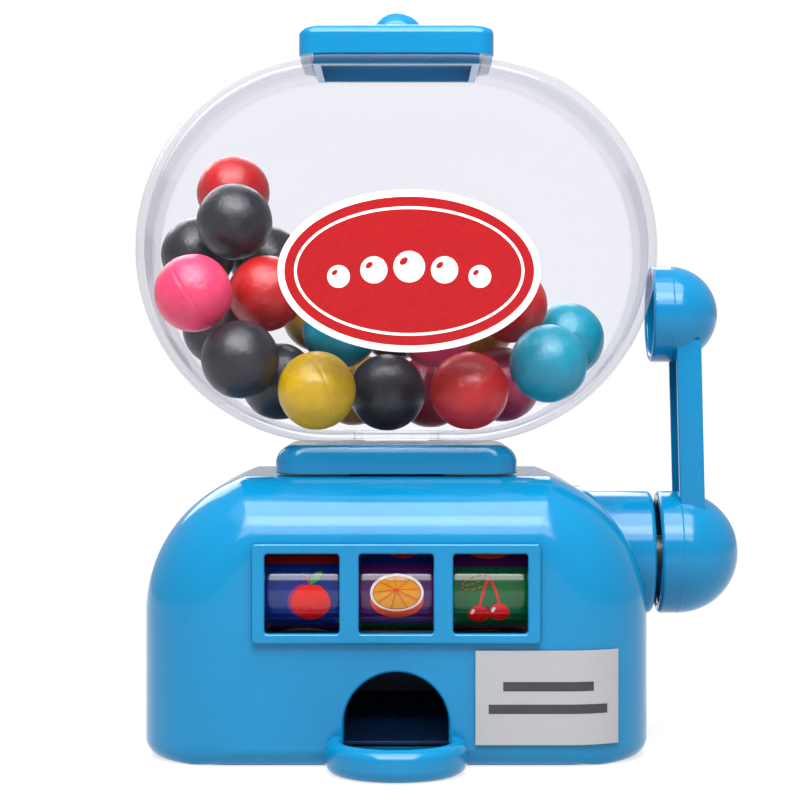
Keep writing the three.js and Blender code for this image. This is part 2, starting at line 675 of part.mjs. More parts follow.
// The shroud keeps the other gumballs out: open to the throat above and low down in front.
const DROP_FROM = THREE.MathUtils.degToRad(95);
const DROP_TO = THREE.MathUtils.degToRad(190);
function makeShroud() {
  const y = lever.axisY;
  const half = shroudHalf + shroudEnd;
  const top = roofZ - GAP;
  const bodies = rod("x", shroudOuter, -half, half, 36, leverAxis).add(
    box(-half, half, y - shroudOuter, y + shroudOuter, leverZ, top),
  );
  const reach = 2 * shroudOuter;
  const fan = arc(0, 0, reach, reach, DROP_FROM, DROP_TO, 6);
  const drop = plateAcrossX(
    [[y, leverZ], ...fan.map(([up, forward]) => [y - forward, leverZ + up])],
    -shroudHalf,
    shroudHalf,
  );
  const cuts = [
    rod("x", shroudRadius, -shroudHalf, shroudHalf, 36, leverAxis),
    rod("x", boreRadius, 0, half + 1, 20, leverAxis),
    rod("x", bearing.outer + GAP, -half - 1, 0, 24, leverAxis),
    rod("z", throat.radius + throat.wall + GAP, leverZ, top + 1, 28, [0, y, 0]),
    drop,
  ];
  return bodies.intersect(box(-half, half, -50, 50, 0, top)).subtract(wasm.Manifold.union(cuts));
}
add("barrel_shroud", makeShroud(), BLUE, 0.45);

// A flanged bush in the shroud's left end carries the barrel's left stub.
function makeBearing() {
  const { outer, flangeRadius, flange } = bearing;
  const inEnd = -shroudHalf;
  const outEnd = -shroudHalf - shroudEnd;
  const profile = [
    [boreRadius, inEnd],
    [boreRadius, outEnd - GAP - flange],
    [flangeRadius, outEnd - GAP - flange],
    [flangeRadius, outEnd - GAP],
    [outer, outEnd - GAP],
    [outer, inEnd],
    [boreRadius, inEnd],
  ];
  return turned("x", profile, 24, leverAxis);
}
add("barrel_bearing", makeBearing(), WHITE_PLASTIC, 0.5);

// The torsion spring is a helix of wire round the shaft.
function makeSpring() {
  const from = stubEnd + 0.6;
  const to = bracket.faceX - 1;
  const wire = spring.wireRadius;
  class Helix extends THREE.Curve {
    getPoint(t, target = new THREE.Vector3()) {
      const angle = 2 * Math.PI * spring.turns * t;
      const x = from + wire + (to - from - 2 * wire) * t;
      const y = lever.axisY + spring.meanRadius * Math.cos(angle);
      return target.set(x, y, leverZ + spring.meanRadius * Math.sin(angle));
    }
  }
  const round = arc(0, 0, wire, wire, 0, 2 * Math.PI, spring.wireSides).slice(1);
  const section = new THREE.Shape(round.map(([u, v]) => new THREE.Vector2(u, v)));
  const steps = spring.turns * spring.stepsPerTurn;
  const along = { steps, bevelEnabled: false, extrudePath: new Helix() };
  return solid(new THREE.ExtrudeGeometry(section, along));
}
add("return_spring", makeSpring(), STEEL, 0.3, 0.9);

// The throat tube leads from the bowl's hole, through the saddle and the roof, to the barrel.
function makeThroat() {
  const low = roofZ;
  const high = saddleTop - GAP / 3;
  const { radius, wall, flangeRadius, flange } = throat;
  const profile = [
    [radius, low],
    [radius + wall, low],
    [radius + wall, high - flange],
    [flangeRadius, high - flange],
    [flangeRadius, high],
    [radius, high],
    [radius, low],
  ];
  return turned("z", profile, 28, [0, lever.axisY, 0]);
}
add("throat_funnel", makeThroat(), WHITE_PLASTIC, 0.4);

// The chute carries a gumball from below the barrel forward to the tray's tongue.
function makeChute() {
  const front = tongueEndY + GAP;
  const back = lever.axisY + shroudOuter;
  const { wall } = chute;
  const slope = Math.tan(THREE.MathUtils.degToRad(chute.slopeDegrees));
  const floorAt = (y) => plateTop + chute.lip + slope * (y - front);
  const top = floorAt(back) + chute.side;
  const half = archHalf + wall;
  const outline = [
    [front, plateTop],
    [front + 3, plateTop],
    [back - wall, floorAt(back) - wall],
    [back - wall, plateTop],
    [back, plateTop],
    [back, top],
    [front, top],
  ];
  const inside = [
    [front - 1, floorAt(front - 1)],
    [back - wall, floorAt(back - wall)],
    [back - wall, top + 1],
    [front - 1, top + 1],
  ];
  return plateAcrossX(outline, -half, half).subtract(plateAcrossX(inside, -archHalf, archHalf));
}
add("ball_chute", makeChute(), BLUE, 0.45);

// ---------------------------------------------------------------- gears
const driveRadius = (gearModule * gears.drive) / 2;
const idlerRadius = (gearModule * gears.idler) / 2;
// The three axes lie on one line, with the idler between the lever's axis and the reels'.
const toReels = new THREE.Vector2(reelY - lever.axisY, reelZ - leverZ).normalize();
const idlerAt = new THREE.Vector2(lever.axisY, leverZ).addScaledVector(toReels, driveRadius + idlerRadius);
const lineAngle = Math.atan2(toReels.y, toReels.x);

// Spur teeth with straight flanks and some backlash; a tooth stands at the given angle.
function gearSolid(teeth, toothAngle, bore, fromX, toX, [y, z]) {
  const addendum = 0.8 * gearModule;
  const dedendum = 1.1 * gearModule;
  const pitch = (2 * Math.PI) / teeth;
  const pitchRadius = (gearModule * teeth) / 2;
  const tip = pitchRadius + addendum;
  const root = pitchRadius - dedendum;
  const halfAtRoot = pitch * 0.33;
  const halfAtTip = pitch * 0.1;
  const flanks = [
    [root, -halfAtRoot],
    [tip, -halfAtTip],
    [tip, halfAtTip],
    [root, halfAtRoot],
  ];
  const points = [];
  for (let i = 0; i < teeth; i++) {
    for (const [radius, offset] of flanks) {
      const angle = toothAngle + i * pitch + offset;
      points.push([y + radius * Math.cos(angle), z + radius * Math.sin(angle)]);
    }
  }
  const wheel = plateAcrossX(points, fromX, toX);
  return wheel.subtract(rod("x", bore, fromX - 1, toX + 1, 20, [0, y, z]));
}

const gearFrom = gears.plane;
const gearTo = gears.plane + gears.width;
const drive = gearSolid(gears.drive, lineAngle, boreRadius, gearFrom, gearTo, [lever.axisY, leverZ]);
add("drive_gear", drive, WHITE_PLASTIC, 0.4);
const idlerTooth = lineAngle + Math.PI / gears.idler;
const idlerBore = idlerPin.radius + GAP;
const idler = gearSolid(gears.idler, idlerTooth, idlerBore, gearFrom, gearTo, idlerAt.toArray());
add("idler_gear", idler, WHITE_PLASTIC, 0.4);
const pinionPlace = [reelY, reelZ];
const pinionBore = reelShaftRadius + GAP;
const pinion = gearSolid(gears.pinion, lineAngle + Math.PI, pinionBore, gearFrom, gearTo, pinionPlace);
add("reel_pinion", pinion, WHITE_PLASTIC, 0.4);

function makeIdlerPin() {
  const from = bracket.faceX - GAP;
  const head = gearTo + GAP;
  const { radius, headRadius, headLength } = idlerPin;
  const profile = [
    [0, from],
    [radius, from],
    [radius, head],
    [headRadius, head],
    [headRadius, head + headLength],
    [0, head + headLength],
  ];
  return turned("x", profile, 16, [0, idlerAt.x, idlerAt.y]);
}
add("idler_pin", makeIdlerPin(), STEEL, 0.3, 0.9);

// ---------------------------------------------------------------- reels
const reelAxis = [0, reelY, reelZ];
function makeReel(x) {
  const half = reel.width / 2;
  const web = reel.web / 2;
  const inner = reel.radius - reel.rim;
  const bore = reelShaftRadius + GAP;
  const side = (sign) => [
    [bore, sign * half],
    [reel.hub, sign * half],
    [reel.hub, sign * web],
    [inner, sign * web],
    [inner, sign * half],
    [reel.radius, sign * half],
  ];
  const profile = [...side(-1), ...side(1).reverse(), [bore, -half]];
  return turned("x", profile, 20, [x, reelY, reelZ]);
}
Object.entries(REEL_COLOURS).forEach(([side, colour], i) => {
  add(`reel_${side}`, makeReel((i - 1) * reel.pitch), colour, 0.35);
});

const bracketOutside = bracket.faceX + bracket.thickness;
const reelShaftEnds = [-bracketOutside - 0.8, gearTo + 1.6];
add("reel_shaft", rod("x", reelShaftRadius, ...reelShaftEnds, 16, reelAxis), STEEL, 0.3, 0.9);

// Each bracket is a plate on a foot; the right one also carries the lever's shaft and the idler.
function makeBracket(side) {
  const sorted = (a, b) => [Math.min(side * a, side * b), Math.max(side * a, side * b)];
  const [x0, x1] = sorted(bracket.faceX, bracketOutside);
  const front = reelY - bracket.margin;
  const reelTop = reelZ + bracket.margin;
  const back = side > 0 ? lever.axisY + bracket.margin + 2 : reelY + bracket.margin + 2;
  const outline = side > 0
    ? [[front, plateTop], [back, plateTop], [back, leverZ + bracket.margin + 1],
      [lever.axisY - bracket.margin - 2, leverZ + bracket.margin + 1], [front, reelTop]]
    : [[front, plateTop], [back, plateTop], [back, reelTop], [front, reelTop]];
  const [foot0, foot1] = sorted(bracket.faceX, bracketOutside + bracket.foot);
  const foot = box(foot0, foot1, front, back, plateTop, plateTop + bracket.thickness);
  const cuts = [rod("x", reelShaftRadius + GAP, x0 - 1, x1 + 1, 16, reelAxis)];
  if (side > 0) {
    cuts.push(rod("x", boreRadius, x0 - 1, x1 + 1, 20, leverAxis));
    cuts.push(rod("x", idlerPin.radius + GAP, x0 - 1, x1 + 1, 16, [0, idlerAt.x, idlerAt.y]));
  }
  return plateAcrossX(outline, x0, x1).add(foot).subtract(wasm.Manifold.union(cuts));
}
add("reel_bracket_left", makeBracket(-1), WHITE_PLASTIC, 0.45);
add("reel_bracket_right", makeBracket(1), WHITE_PLASTIC, 0.45);

// ---------------------------------------------------------------- gumballs
// Roughly where each gumball lies: its colour, then x and y, and its height above the bowl's underside.
const heap = [
  ["red", -29, 14, 42],
  ["black", -29, 1, 36],
  ["black", -35, 8, 32],
  ["black", -22, 16, 30],
  ["pink", -35, -12, 24],
  ["red", -22, -3, 25],
  ["black", -26, -14, 12],
  ["black", -33, 10, 17],
  ["black", -21, 12, 10],
  ["yellow", -14, -14, 8],
  ["ochre", -15, 14, 20],
  ["teal", -10, -1, 18],
  ["ochre", -8, 14, 8],
  ["black", -1, -4, 8],
  ["black", -2, 15, 19],
  ["pink", 6, -2, 18],
  ["crimson", 4, 13, 9],
  ["red", 12, -14, 8],
  ["ochre", 15, 14, 19],
  ["red", 19, 0, 23],
  ["crimson", 19, 8, 10],
  ["teal", 25, -13, 13],
  ["teal", 30, 7, 16],
  ["black", -20, -2, 9],
];

// Keeps a centre inside the bowl: the bowl is a flat core grown by a round edge.
function keepInBowl(centre) {
  const grown = bowl.fillet - bowl.wall - gumball.radius - GAP;
  const coreRadius = bowl.radius - bowl.fillet;
  const onStraight = THREE.MathUtils.clamp(centre.x, -bowl.straightHalf, bowl.straightHalf);
  const spoke = new THREE.Vector2(centre.x - onStraight, centre.z - bowlCentreZ);
  spoke.clampLength(0, coreRadius);
  const halfDepth = bowl.depth / 2 - bowl.fillet;
  const y = THREE.MathUtils.clamp(centre.y, -halfDepth, halfDepth);
  const core = new THREE.Vector3(onStraight + spoke.x, y, bowlCentreZ + spoke.y);
  centre.sub(core).clampLength(0, grown).add(core);
}

function settledHeap() {
  const centres = heap.map(([, x, y, up]) => new THREE.Vector3(x, y, bowlBottom + up));
  const apart = 2 * gumball.radius + GAP;
  for (let round = 0; round < 600; round++) {
    for (let i = 0; i < centres.length; i++) {
      for (let j = i + 1; j < centres.length; j++) {
        const between = centres[i].clone().sub(centres[j]);
        const short = apart + 0.02 - between.length();
        if (short > 0) {
          between.setLength(short / 2);
          centres[i].add(between);
          centres[j].sub(between);
        }
      }
    }
    centres.forEach(keepInBowl);
  }
  return centres;
}

settledHeap().forEach((centre, i) => {
  const ball = new THREE.IcosahedronGeometry(gumball.radius, 2);
  const name = `gumball_${String(i + 1).padStart(2, "0")}`;
  add(name, solid(ball), GUM[heap[i][0]], 0.5).position.copy(centre);
});

export default machine;
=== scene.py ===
"""Looks for the toy gumball machine: fine meshes, moulded plastic, candy and studio light."""

import json
import math

import bmesh
import bpy
from mathutils import Matrix, Vector, noise


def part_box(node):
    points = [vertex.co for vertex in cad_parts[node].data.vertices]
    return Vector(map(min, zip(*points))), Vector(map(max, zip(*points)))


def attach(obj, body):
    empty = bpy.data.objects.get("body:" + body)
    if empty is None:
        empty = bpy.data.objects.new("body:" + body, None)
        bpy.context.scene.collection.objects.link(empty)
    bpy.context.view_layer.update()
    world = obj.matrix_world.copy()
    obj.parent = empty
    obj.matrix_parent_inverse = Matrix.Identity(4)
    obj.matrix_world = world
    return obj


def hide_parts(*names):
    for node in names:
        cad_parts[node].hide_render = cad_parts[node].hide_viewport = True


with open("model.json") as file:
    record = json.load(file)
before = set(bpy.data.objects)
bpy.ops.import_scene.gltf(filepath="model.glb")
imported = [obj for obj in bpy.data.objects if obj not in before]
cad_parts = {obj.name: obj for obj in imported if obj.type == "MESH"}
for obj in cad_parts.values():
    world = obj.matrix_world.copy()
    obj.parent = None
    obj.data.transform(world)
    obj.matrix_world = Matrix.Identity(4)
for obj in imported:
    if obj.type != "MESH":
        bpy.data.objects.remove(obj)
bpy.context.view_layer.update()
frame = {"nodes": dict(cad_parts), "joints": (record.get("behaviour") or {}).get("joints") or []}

MM = 0.001
GAP = 0.3 * MM
QUARTER = math.pi / 2
NODES = frame["nodes"]
JOINTS = {joint["name"]: joint for joint in frame["joints"]}


# ---- mesh tools
def mesh_piece(name, points, faces, smooth_degrees=35):
    """A mesh object, shaded smooth except across edges sharper than smooth_degrees."""
    mesh = bpy.data.meshes.new(name)
    mesh.from_pydata([tuple(p) for p in points], [], faces)
    mesh.validate()
    work = bmesh.new()
    work.from_mesh(mesh)
    bmesh.ops.remove_doubles(work, verts=work.verts, dist=1e-7)
    bmesh.ops.dissolve_degenerate(work, edges=work.edges, dist=1e-7)
    bmesh.ops.recalc_face_normals(work, faces=work.faces)
    work.to_mesh(mesh)
    work.free()
    piece = placed(name, mesh)
    shade(piece, smooth_degrees)
    return piece


def placed(name, data):
    """A new object that shows the data, linked into the scene."""
    item = bpy.data.objects.new(name, data)
    bpy.context.scene.collection.objects.link(item)
    return item


def shade(piece, smooth_degrees=35):
    """Smooth shading, except across edges sharper than that angle."""
    piece.data.polygons.foreach_set("use_smooth", [True] * len(piece.data.polygons))
    piece.data.set_sharp_from_angle(angle=math.radians(smooth_degrees))
    piece.data.update()


def arc(centre_u, centre_v, radius_u, radius_v, start, end, steps):
    """Points along part of an ellipse, both ends included."""
    turns = [start + (end - start) * i / steps for i in range(steps + 1)]
    return [(centre_u + radius_u * math.cos(t), centre_v + radius_v * math.sin(t)) for t in turns]


def rounded_rectangle(half_u, half_v, radius, steps, centre_v=0.0):
    outline = []
    for i, (side_u, side_v) in enumerate([(1, 1), (-1, 1), (-1, -1), (1, -1)]):
        u = side_u * (half_u - radius)
        v = centre_v + side_v * (half_v - radius)
        outline += arc(u, v, radius, radius, QUARTER * i, QUARTER * (i + 1), steps)
    return outline


def fillet_inset(radius, depth):
    """How far a rounded edge stands in, at a depth behind its face."""
    left = radius - max(depth, 0.0)
    return radius - math.sqrt(radius * radius - left * left) if left > 0 else 0.0


def rounded_ends(low, high, low_fillet, high_fillet, steps):
    """(place, inset) stations from low to high that round both ends."""
    def end(fillet):
        count = steps if fillet > 0 else 0
        angles = [QUARTER * i / count if count else 0.0 for i in range(count + 1)]
        return [(fillet * (1 - math.cos(a)), fillet * (1 - math.sin(a))) for a in angles]

    low_end = [(low + depth, inset) for depth, inset in end(low_fillet)]
    high_end = [(high - depth, inset) for depth, inset in end(high_fillet)]
    return low_end + high_end[::-1]


def loft(name, axis, stations, outline, smooth_degrees=35):
    """A closed solid through outline(place, inset), a list of (u, v), standing along Y or Z."""
    rings = [outline(place, inset) for place, inset in stations]
    count = len(rings[0])
    points = []
    for (place, _), ring in zip(stations, rings):
        points += [(u, v, place) if axis == "z" else (u, place, v) for u, v in ring]
    faces = []
    for r in range(len(rings) - 1):
        for i in range(count):
            j = (i + 1) % count
            a, b = r * count + i, r * count + j
            faces.append((a, b, b + count, a + count))
    faces.append(tuple(range(count))[::-1])
    last = (len(rings) - 1) * count
    faces.append(tuple(last + i for i in range(count)))
    return mesh_piece(name, points, faces, smooth_degrees)


def turned(name, axis, profile, place, segments=96, smooth_degrees=35):
    """A solid of revolution: profile is (radius, along) pairs from axis to axis, or a closed loop."""
    points, faces, rings = [], [], []
    for radius, along in profile:
        ring = []
        count = 1 if radius < 1e-9 else segments
        for i in range(count):
            t = 2 * math.pi * i / segments
            u, v = radius * math.cos(t), radius * math.sin(t)
            spot = {"x": (along, u, v), "y": (v, along, u), "z": (u, v, along)}[axis]
            ring.append(len(points))
            points.append(Vector(spot) + Vector(place))
        rings.append(ring)
    for low, high in zip(rings, rings[1:]):
        for i in range(segments):
            j = (i + 1) % segments
            corners = [low[i % len(low)], low[j % len(low)], high[j % len(high)], high[i % len(high)]]
            corners = list(dict.fromkeys(corners))
            if len(corners) > 2:
                faces.append(tuple(corners))
    return mesh_piece(name, points, faces, smooth_degrees)


def block(name, low, high):
    (x0, y0, z0), (x1, y1, z1) = low, high
    outline = [(x1, y1), (x0, y1), (x0, y0), (x1, y0)]
    return loft(name, "z", [(z0, 0), (z1, 0)], lambda place, inset: outline)


def rod(name, axis, radius, start, end, place, segments=64):
    profile = [(0, start), (radius, start), (radius, end), (0, end)]
    return turned(name, axis, profile, place, segments)


def apply_modifiers(piece):
    bpy.context.view_layer.update()
    graph = bpy.context.evaluated_depsgraph_get()
    shaped = bpy.data.meshes.new_from_object(piece.evaluated_get(graph))
    old = piece.data
    piece.modifiers.clear()
    piece.data = shaped
    bpy.data.meshes.remove(old)


def carve(piece, cutters, operation="DIFFERENCE"):
    """Cuts (or joins) the cutters, which are used up."""
    for cutter in cutters:
        step = piece.modifiers.new("carve", "BOOLEAN")
        step.operation = operation
        step.solver = "EXACT"
        step.object = cutter
    apply_modifiers(piece)
    for cutter in cutters:
        bpy.data.objects.remove(cutter, do_unlink=True)
    return piece


def soften(piece, width, segments=3, degrees=35):
    """Rounds the sharp edges that a mould would round."""
    step = piece.modifiers.new("soften", "BEVEL")
    step.width = width
    step.segments = segments
    step.limit_method = "ANGLE"
    step.angle_limit = math.radians(degrees)
    step.harden_normals = False
    apply_modifiers(piece)
    return dressed(piece, degrees)


def dressed(piece, smooth_degrees):
    """Shades a finished form, with normals weighted so that wide flat faces stay flat."""
    shade(piece, smooth_degrees)
    step = piece.modifiers.new("weigh", "WEIGHTED_NORMAL")
    step.keep_sharp = True
    step.weight = 80
    return piece


def join(name, pieces):
    """One object from several, which are used up, each face keeping its material."""
    work = bmesh.new()
    slots = []
    for piece in pieces:
        shift = []
        for material in piece.data.materials:
            if material not in slots:
                slots.append(material)
            shift.append(slots.index(material))
        first = len(work.faces)
        part = piece.data.copy()
        part.transform(piece.matrix_world)
        work.from_mesh(part)
        work.faces.ensure_lookup_table()
        for face in work.faces[first:]:
            face.material_index = shift[face.material_index] if shift else 0
        bpy.data.meshes.remove(part)
    mesh = bpy.data.meshes.new(name)
    work.to_mesh(mesh)
    work.free()
    for material in slots:
        mesh.materials.append(material)
    joined = placed(name, mesh)
    for piece in pieces:
        bpy.data.objects.remove(piece, do_unlink=True)
    return joined


def finish_piece(piece, material, body, slot, *nodes):
    """Gives a piece its material and body, and hides the CAD nodes that it stands for. The slot is not
    used.
    """
    if material is not None:
        piece.data.materials.clear()
        piece.data.materials.append(material)
    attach(piece, body)
    if nodes:
        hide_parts(*nodes)
    return piece


# ---- materials
def srgb(red, green, blue):
    """A linear colour from screen values of 0 to 255."""
    def linear(value):
        share = value / 255
        return share / 12.92 if share <= 0.04045 else ((share + 0.055) / 1.055) ** 2.4

    return (linear(red), linear(green), linear(blue), 1.0)


def shaded(colour, factor):
    return tuple(min(channel * factor, 1.0) for channel in colour[:3]) + (1.0,)


class Look:
    """A Principled material and the few node shapes that the looks share."""

    def __init__(self, name):
        self.material = bpy.data.materials.new(name)
        self.material.use_nodes = True
        self.nodes = self.material.node_tree.nodes
        self.links = self.material.node_tree.links
        self.shader = self.nodes["Principled BSDF"]
        self.place = self.nodes.new("ShaderNodeTexCoord").outputs["Object"]

    def set(self, **values):
        for key, value in values.items():
            self.shader.inputs[key.replace("_", " ")].default_value = value
        return self

    def noise(self, feature, detail=3.0, roughness=0.5, stretch=None):
        """Noise with features of about that size, in metres."""
        node = self.nodes.new("ShaderNodeTexNoise")
        node.inputs["Scale"].default_value = 1 / feature
        node.inputs["Detail"].default_value = detail
        node.inputs["Roughness"].default_value = roughness
        self.links.new(self.stretched(stretch), node.inputs["Vector"])
        return node.outputs["Fac"]

    def stretched(self, stretch):
        if stretch is None:
            return self.place
        node = self.nodes.new("ShaderNodeMapping")
        node.inputs["Scale"].default_value = stretch
        self.links.new(self.place, node.inputs["Vector"])
        return node.outputs["Vector"]

    def spots(self, spacing, randomness=1.0):
        """Distance to the nearest of scattered points, in cells."""
        node = self.nodes.new("ShaderNodeTexVoronoi")
        node.inputs["Scale"].default_value = 1 / spacing
        node.inputs["Randomness"].default_value = randomness
        self.links.new(self.place, node.inputs["Vector"])
        return node.outputs["Distance"]

    def ramp(self, source, low, high, low_value, high_value):
        """Maps low..high of the source to the two values, and clamps."""
        node = self.nodes.new("ShaderNodeMapRange")
        node.inputs["From Min"].default_value = low
        node.inputs["From Max"].default_value = high
        node.inputs["To Min"].default_value = low_value
        node.inputs["To Max"].default_value = high_value
        self.links.new(source, node.inputs["Value"])
        return node.outputs["Result"]

    def blend(self, factor, first, second):
        """A colour between two colours or colour sockets."""
        node = self.nodes.new("ShaderNodeMix")
        node.data_type = "RGBA"
        self.links.new(factor, node.inputs["Factor"])
        for index, value in ((6, first), (7, second)):
            if isinstance(value, bpy.types.NodeSocket):
                self.links.new(value, node.inputs[index])
            else:
                node.inputs[index].default_value = value
        return node.outputs[2]

    def colour(self, source):
        self.links.new(source, self.shader.inputs["Base Color"])

    def rough(self, source):
        self.links.new(source, self.shader.inputs["Roughness"])

    def bump(self, source, height, under=None):
        """Raises the surface by height, in metres, where the source is 1."""
        node = self.nodes.new("ShaderNodeBump")
        node.inputs["Distance"].default_value = height
        self.links.new(source, node.inputs["Height"])
        if under is not None:
            self.links.new(under, node.inputs["Normal"])
        return node.outputs["Normal"]

    def normal(self, source):
        self.links.new(source, self.shader.inputs["Normal"])


def moulded(name, colour, rough=0.2, wave=0.012, depth=0.04, grain=0.0):
    """Moulded plastic: slow sink marks, flow-tinted colour, fine scuffs in the gloss."""
    look = Look(name)
    flow = look.noise(18 * MM, 4.0, 0.55, stretch=(1.0, 1.0, 0.5))
    look.colour(look.blend(look.ramp(flow, 0.3, 0.7, 0, 1), shaded(colour, 0.93), shaded(colour, 1.05)))
    scuffs = look.noise(1.1 * MM, 5.0, 0.65, stretch=(1.0, 1.0, 3.0))
    look.rough(look.ramp(scuffs, 0.35, 0.75, rough * 0.8, rough * 1.35))
    sink = look.bump(look.noise(wave, 1.0, 0.4), depth * MM)
    fine = look.bump(look.noise(0.5 * MM, 2.0, 0.5), (0.004 + grain) * MM, sink)
    look.normal(fine)
    look.set(IOR=1.49, Specular_IOR_Level=0.3)
    return look


def gum_shell(name, colour):
    """A candy shell: satin, finely pitted, with pale dust and darker specks."""
    look = Look(name)
    cloud = look.ramp(look.noise(3.2 * MM, 4.0, 0.6), 0.35, 0.68, 0, 1)
    tone = look.blend(cloud, shaded(colour, 0.86), shaded(colour, 1.1))
    specks = look.ramp(look.noise(0.42 * MM, 2.0, 0.6), 0.63, 0.70, 0, 0.5)
    tone = look.blend(specks, tone, shaded(colour, 0.55))
    pale = tuple(0.75 * c + 0.22 for c in colour[:3]) + (1.0,)
    dust = look.ramp(look.noise(0.45 * MM, 3.0, 0.7), 0.66, 0.76, 0, 0.22)
    look.colour(look.blend(dust, tone, pale))
    look.rough(look.ramp(look.noise(1.4 * MM, 4.0, 0.6), 0.3, 0.75, 0.26, 0.5))
    pits = look.bump(look.ramp(look.spots(1.5 * MM), 0.0, 0.35, 0, 1), 0.035 * MM)
    waves = look.bump(look.noise(2.4 * MM, 3.0, 0.5), 0.10 * MM, pits)
    look.normal(look.bump(look.noise(0.25 * MM, 2.0, 0.6), 0.018 * MM, waves))
    look.set(IOR=1.45)
    return look


def film(name, colour, rough=0.1):
    """Printed glossy film: faint screen grain, slight unevenness of ink."""
    look = Look(name)
    ink = look.ramp(look.noise(1.0 * MM, 4.0, 0.6), 0.3, 0.7, 0, 1)
    look.colour(look.blend(ink, shaded(colour, 0.9), shaded(colour, 1.08)))
    look.rough(look.ramp(look.noise(2.5 * MM, 3.0, 0.6), 0.3, 0.7, rough * 0.75, rough * 1.4))
    look.normal(look.bump(look.noise(3.0 * MM, 2.0, 0.5), 0.012 * MM))
    return look


def paper(name, colour):
    """Coated label paper: short fibres in tone and surface."""
    look = Look(name)
    fibre = look.ramp(look.noise(0.35 * MM, 5.0, 0.7, stretch=(1.0, 1.0, 2.5)), 0.3, 0.7, 0, 1)
    look.colour(look.blend(fibre, shaded(colour, 0.93), shaded(colour, 1.04)))
    look.rough(look.ramp(look.noise(1.5 * MM, 3.0, 0.6), 0.3, 0.7, 0.42, 0.6))
    creases = look.bump(look.noise(6 * MM, 2.0, 0.5), 0.12 * MM)
    look.normal(look.bump(look.noise(0.3 * MM, 4.0, 0.7), 0.01 * MM, creases))
    return look


def plated_steel(name):
    look = Look(name)
    brushed = look.noise(0.3 * MM, 4.0, 0.7, stretch=(0.25, 1.0, 1.0))
    steel = srgb(128, 130, 134)
    look.colour(look.blend(look.ramp(brushed, 0.3, 0.7, 0, 1), shaded(steel, 0.85), steel))
    look.rough(look.ramp(brushed, 0.3, 0.7, 0.3, 0.48))
    look.normal(look.bump(brushed, 0.004 * MM))
    look.set(Metallic=1.0)
    return look


def clear_plastic(name):
    """Clear moulded plastic: all but unseen face on, glossier at a glancing angle and greyer there, the
    grey a painted stand-in for the dark edge lines of refraction.
    """
    look = Look(name)
    # Painted refraction: the grey base colour, shown at a glancing angle, stands in for the dark lines that
    # refraction draws at the edges of clear plastic.
    look.set(Base_Color=srgb(170, 176, 188), IOR=1.46)
    look.rough(look.ramp(look.noise(9 * MM, 3.0, 0.6), 0.3, 0.7, 0.03, 0.07))
    look.normal(look.bump(look.noise(16 * MM, 1.0, 0.4), 0.03 * MM))
    facing = look.nodes.new("ShaderNodeLayerWeight")
    facing.inputs["Blend"].default_value = 0.5
    glancing = look.nodes.new("ShaderNodeMath")
    glancing.operation = "POWER"
    glancing.inputs[1].default_value = 3.0
    look.links.new(look.ramp(facing.outputs["Facing"], 0.5, 1.0, 0, 1), glancing.inputs[0])
    share = look.ramp(glancing.outputs[0], 0, 1, 0.006, 0.75)
    clear = look.nodes.new("ShaderNodeBsdfTransparent")
    clear.inputs["Color"].default_value = srgb(251, 251, 253)
    mixed = look.nodes.new("ShaderNodeMixShader")
    look.links.new(share, mixed.inputs[0])
    look.links.new(clear.outputs[0], mixed.inputs[1])
    look.links.new(look.shader.outputs[0], mixed.inputs[2])
    look.links.new(mixed.outputs[0], look.nodes["Material Output"].inputs["Surface"])
    return look


def palette(make, stem, tones):
    """A material for each named tone, given as screen values, called stem_tone."""
    return {tone: make(f"{stem}_{tone}", srgb(*screen)).material for tone, screen in tones.items()}


BLUE = moulded("sky_blue_plastic", srgb(6, 116, 163), rough=0.12).material
# Painted shade: the ball chute and barrel shroud are the same blue plastic as the housing, darkened here to
# stand for the shade inside the housing.
SHADE_DARKENED_BLUE = moulded("shade_darkened_blue_plastic", srgb(12, 44, 84), rough=0.42, grain=0.006).material
INNER = moulded("inner_white_plastic", srgb(222, 222, 216), rough=0.38, grain=0.006).material
STEEL = plated_steel("plated_steel").material
CLEAR = clear_plastic("clear_plastic").material
GUM = palette(gum_shell, "gum", {
    "red": (172, 14, 12),
    "black": (34, 32, 36),
    "pink": (218, 58, 96),
    "yellow": (194, 156, 2),
    "ochre": (164, 124, 14),
    "teal": (4, 130, 153),
    "crimson": (156, 20, 58),
})
REEL_INK = palette(film, "reel", {
    "red": (140, 22, 16),
    "blue": (10, 36, 112),
    "purple": (72, 14, 84),
    "green": (4, 84, 38),
})
PRINT = palette(film, "print", {
    "apple": (206, 18, 12),
    "apple_shadow": (128, 22, 96),
    "leaf": (22, 124, 52),
    "outline": (176, 34, 22),
    "rind": (214, 208, 198),
    "peel": (204, 62, 12),
    "flesh": (200, 132, 14),
    "lemon": (236, 206, 48),
})
BADGE_RED = film("badge_red", srgb(160, 8, 18)).material
BADGE_WHITE = film("badge_white", srgb(242, 242, 240)).material
PAPER = paper("label_paper", srgb(152, 153, 156)).material
LABEL_INK = film("label_ink", srgb(40, 40, 44), rough=0.4).material


# ---- sizes, from the frame
housing_low, housing_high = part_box("base_housing")
bezel_low, bezel_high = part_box("reel_bezel")
tray_low, tray_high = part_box("catch_tray")
saddle_low, saddle_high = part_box("bowl_saddle")
bowl_low, bowl_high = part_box("bowl_front")[0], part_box("bowl_rear")[1]
lid_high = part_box("refill_lid")[1]
boss_low, boss_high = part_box("lever_boss")
throat_low, throat_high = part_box("throat_funnel")
reel_low, reel_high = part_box("reel_middle")
cover_low, cover_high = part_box("back_cover")
badge_low, badge_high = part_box("bowl_badge")
label_low, label_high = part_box("paper_label")

front_y, back_y = housing_low.y, housing_high.y
lever_axis = Vector(JOINTS["lever_pull"]["pos_m"])
reel_axis = Vector(JOINTS["reel_turn"]["pos_m"])
bowl_centre_z = (bowl_low.z + bowl_high.z) / 2
bowl_radius = (bowl_high.z - bowl_low.z) / 2


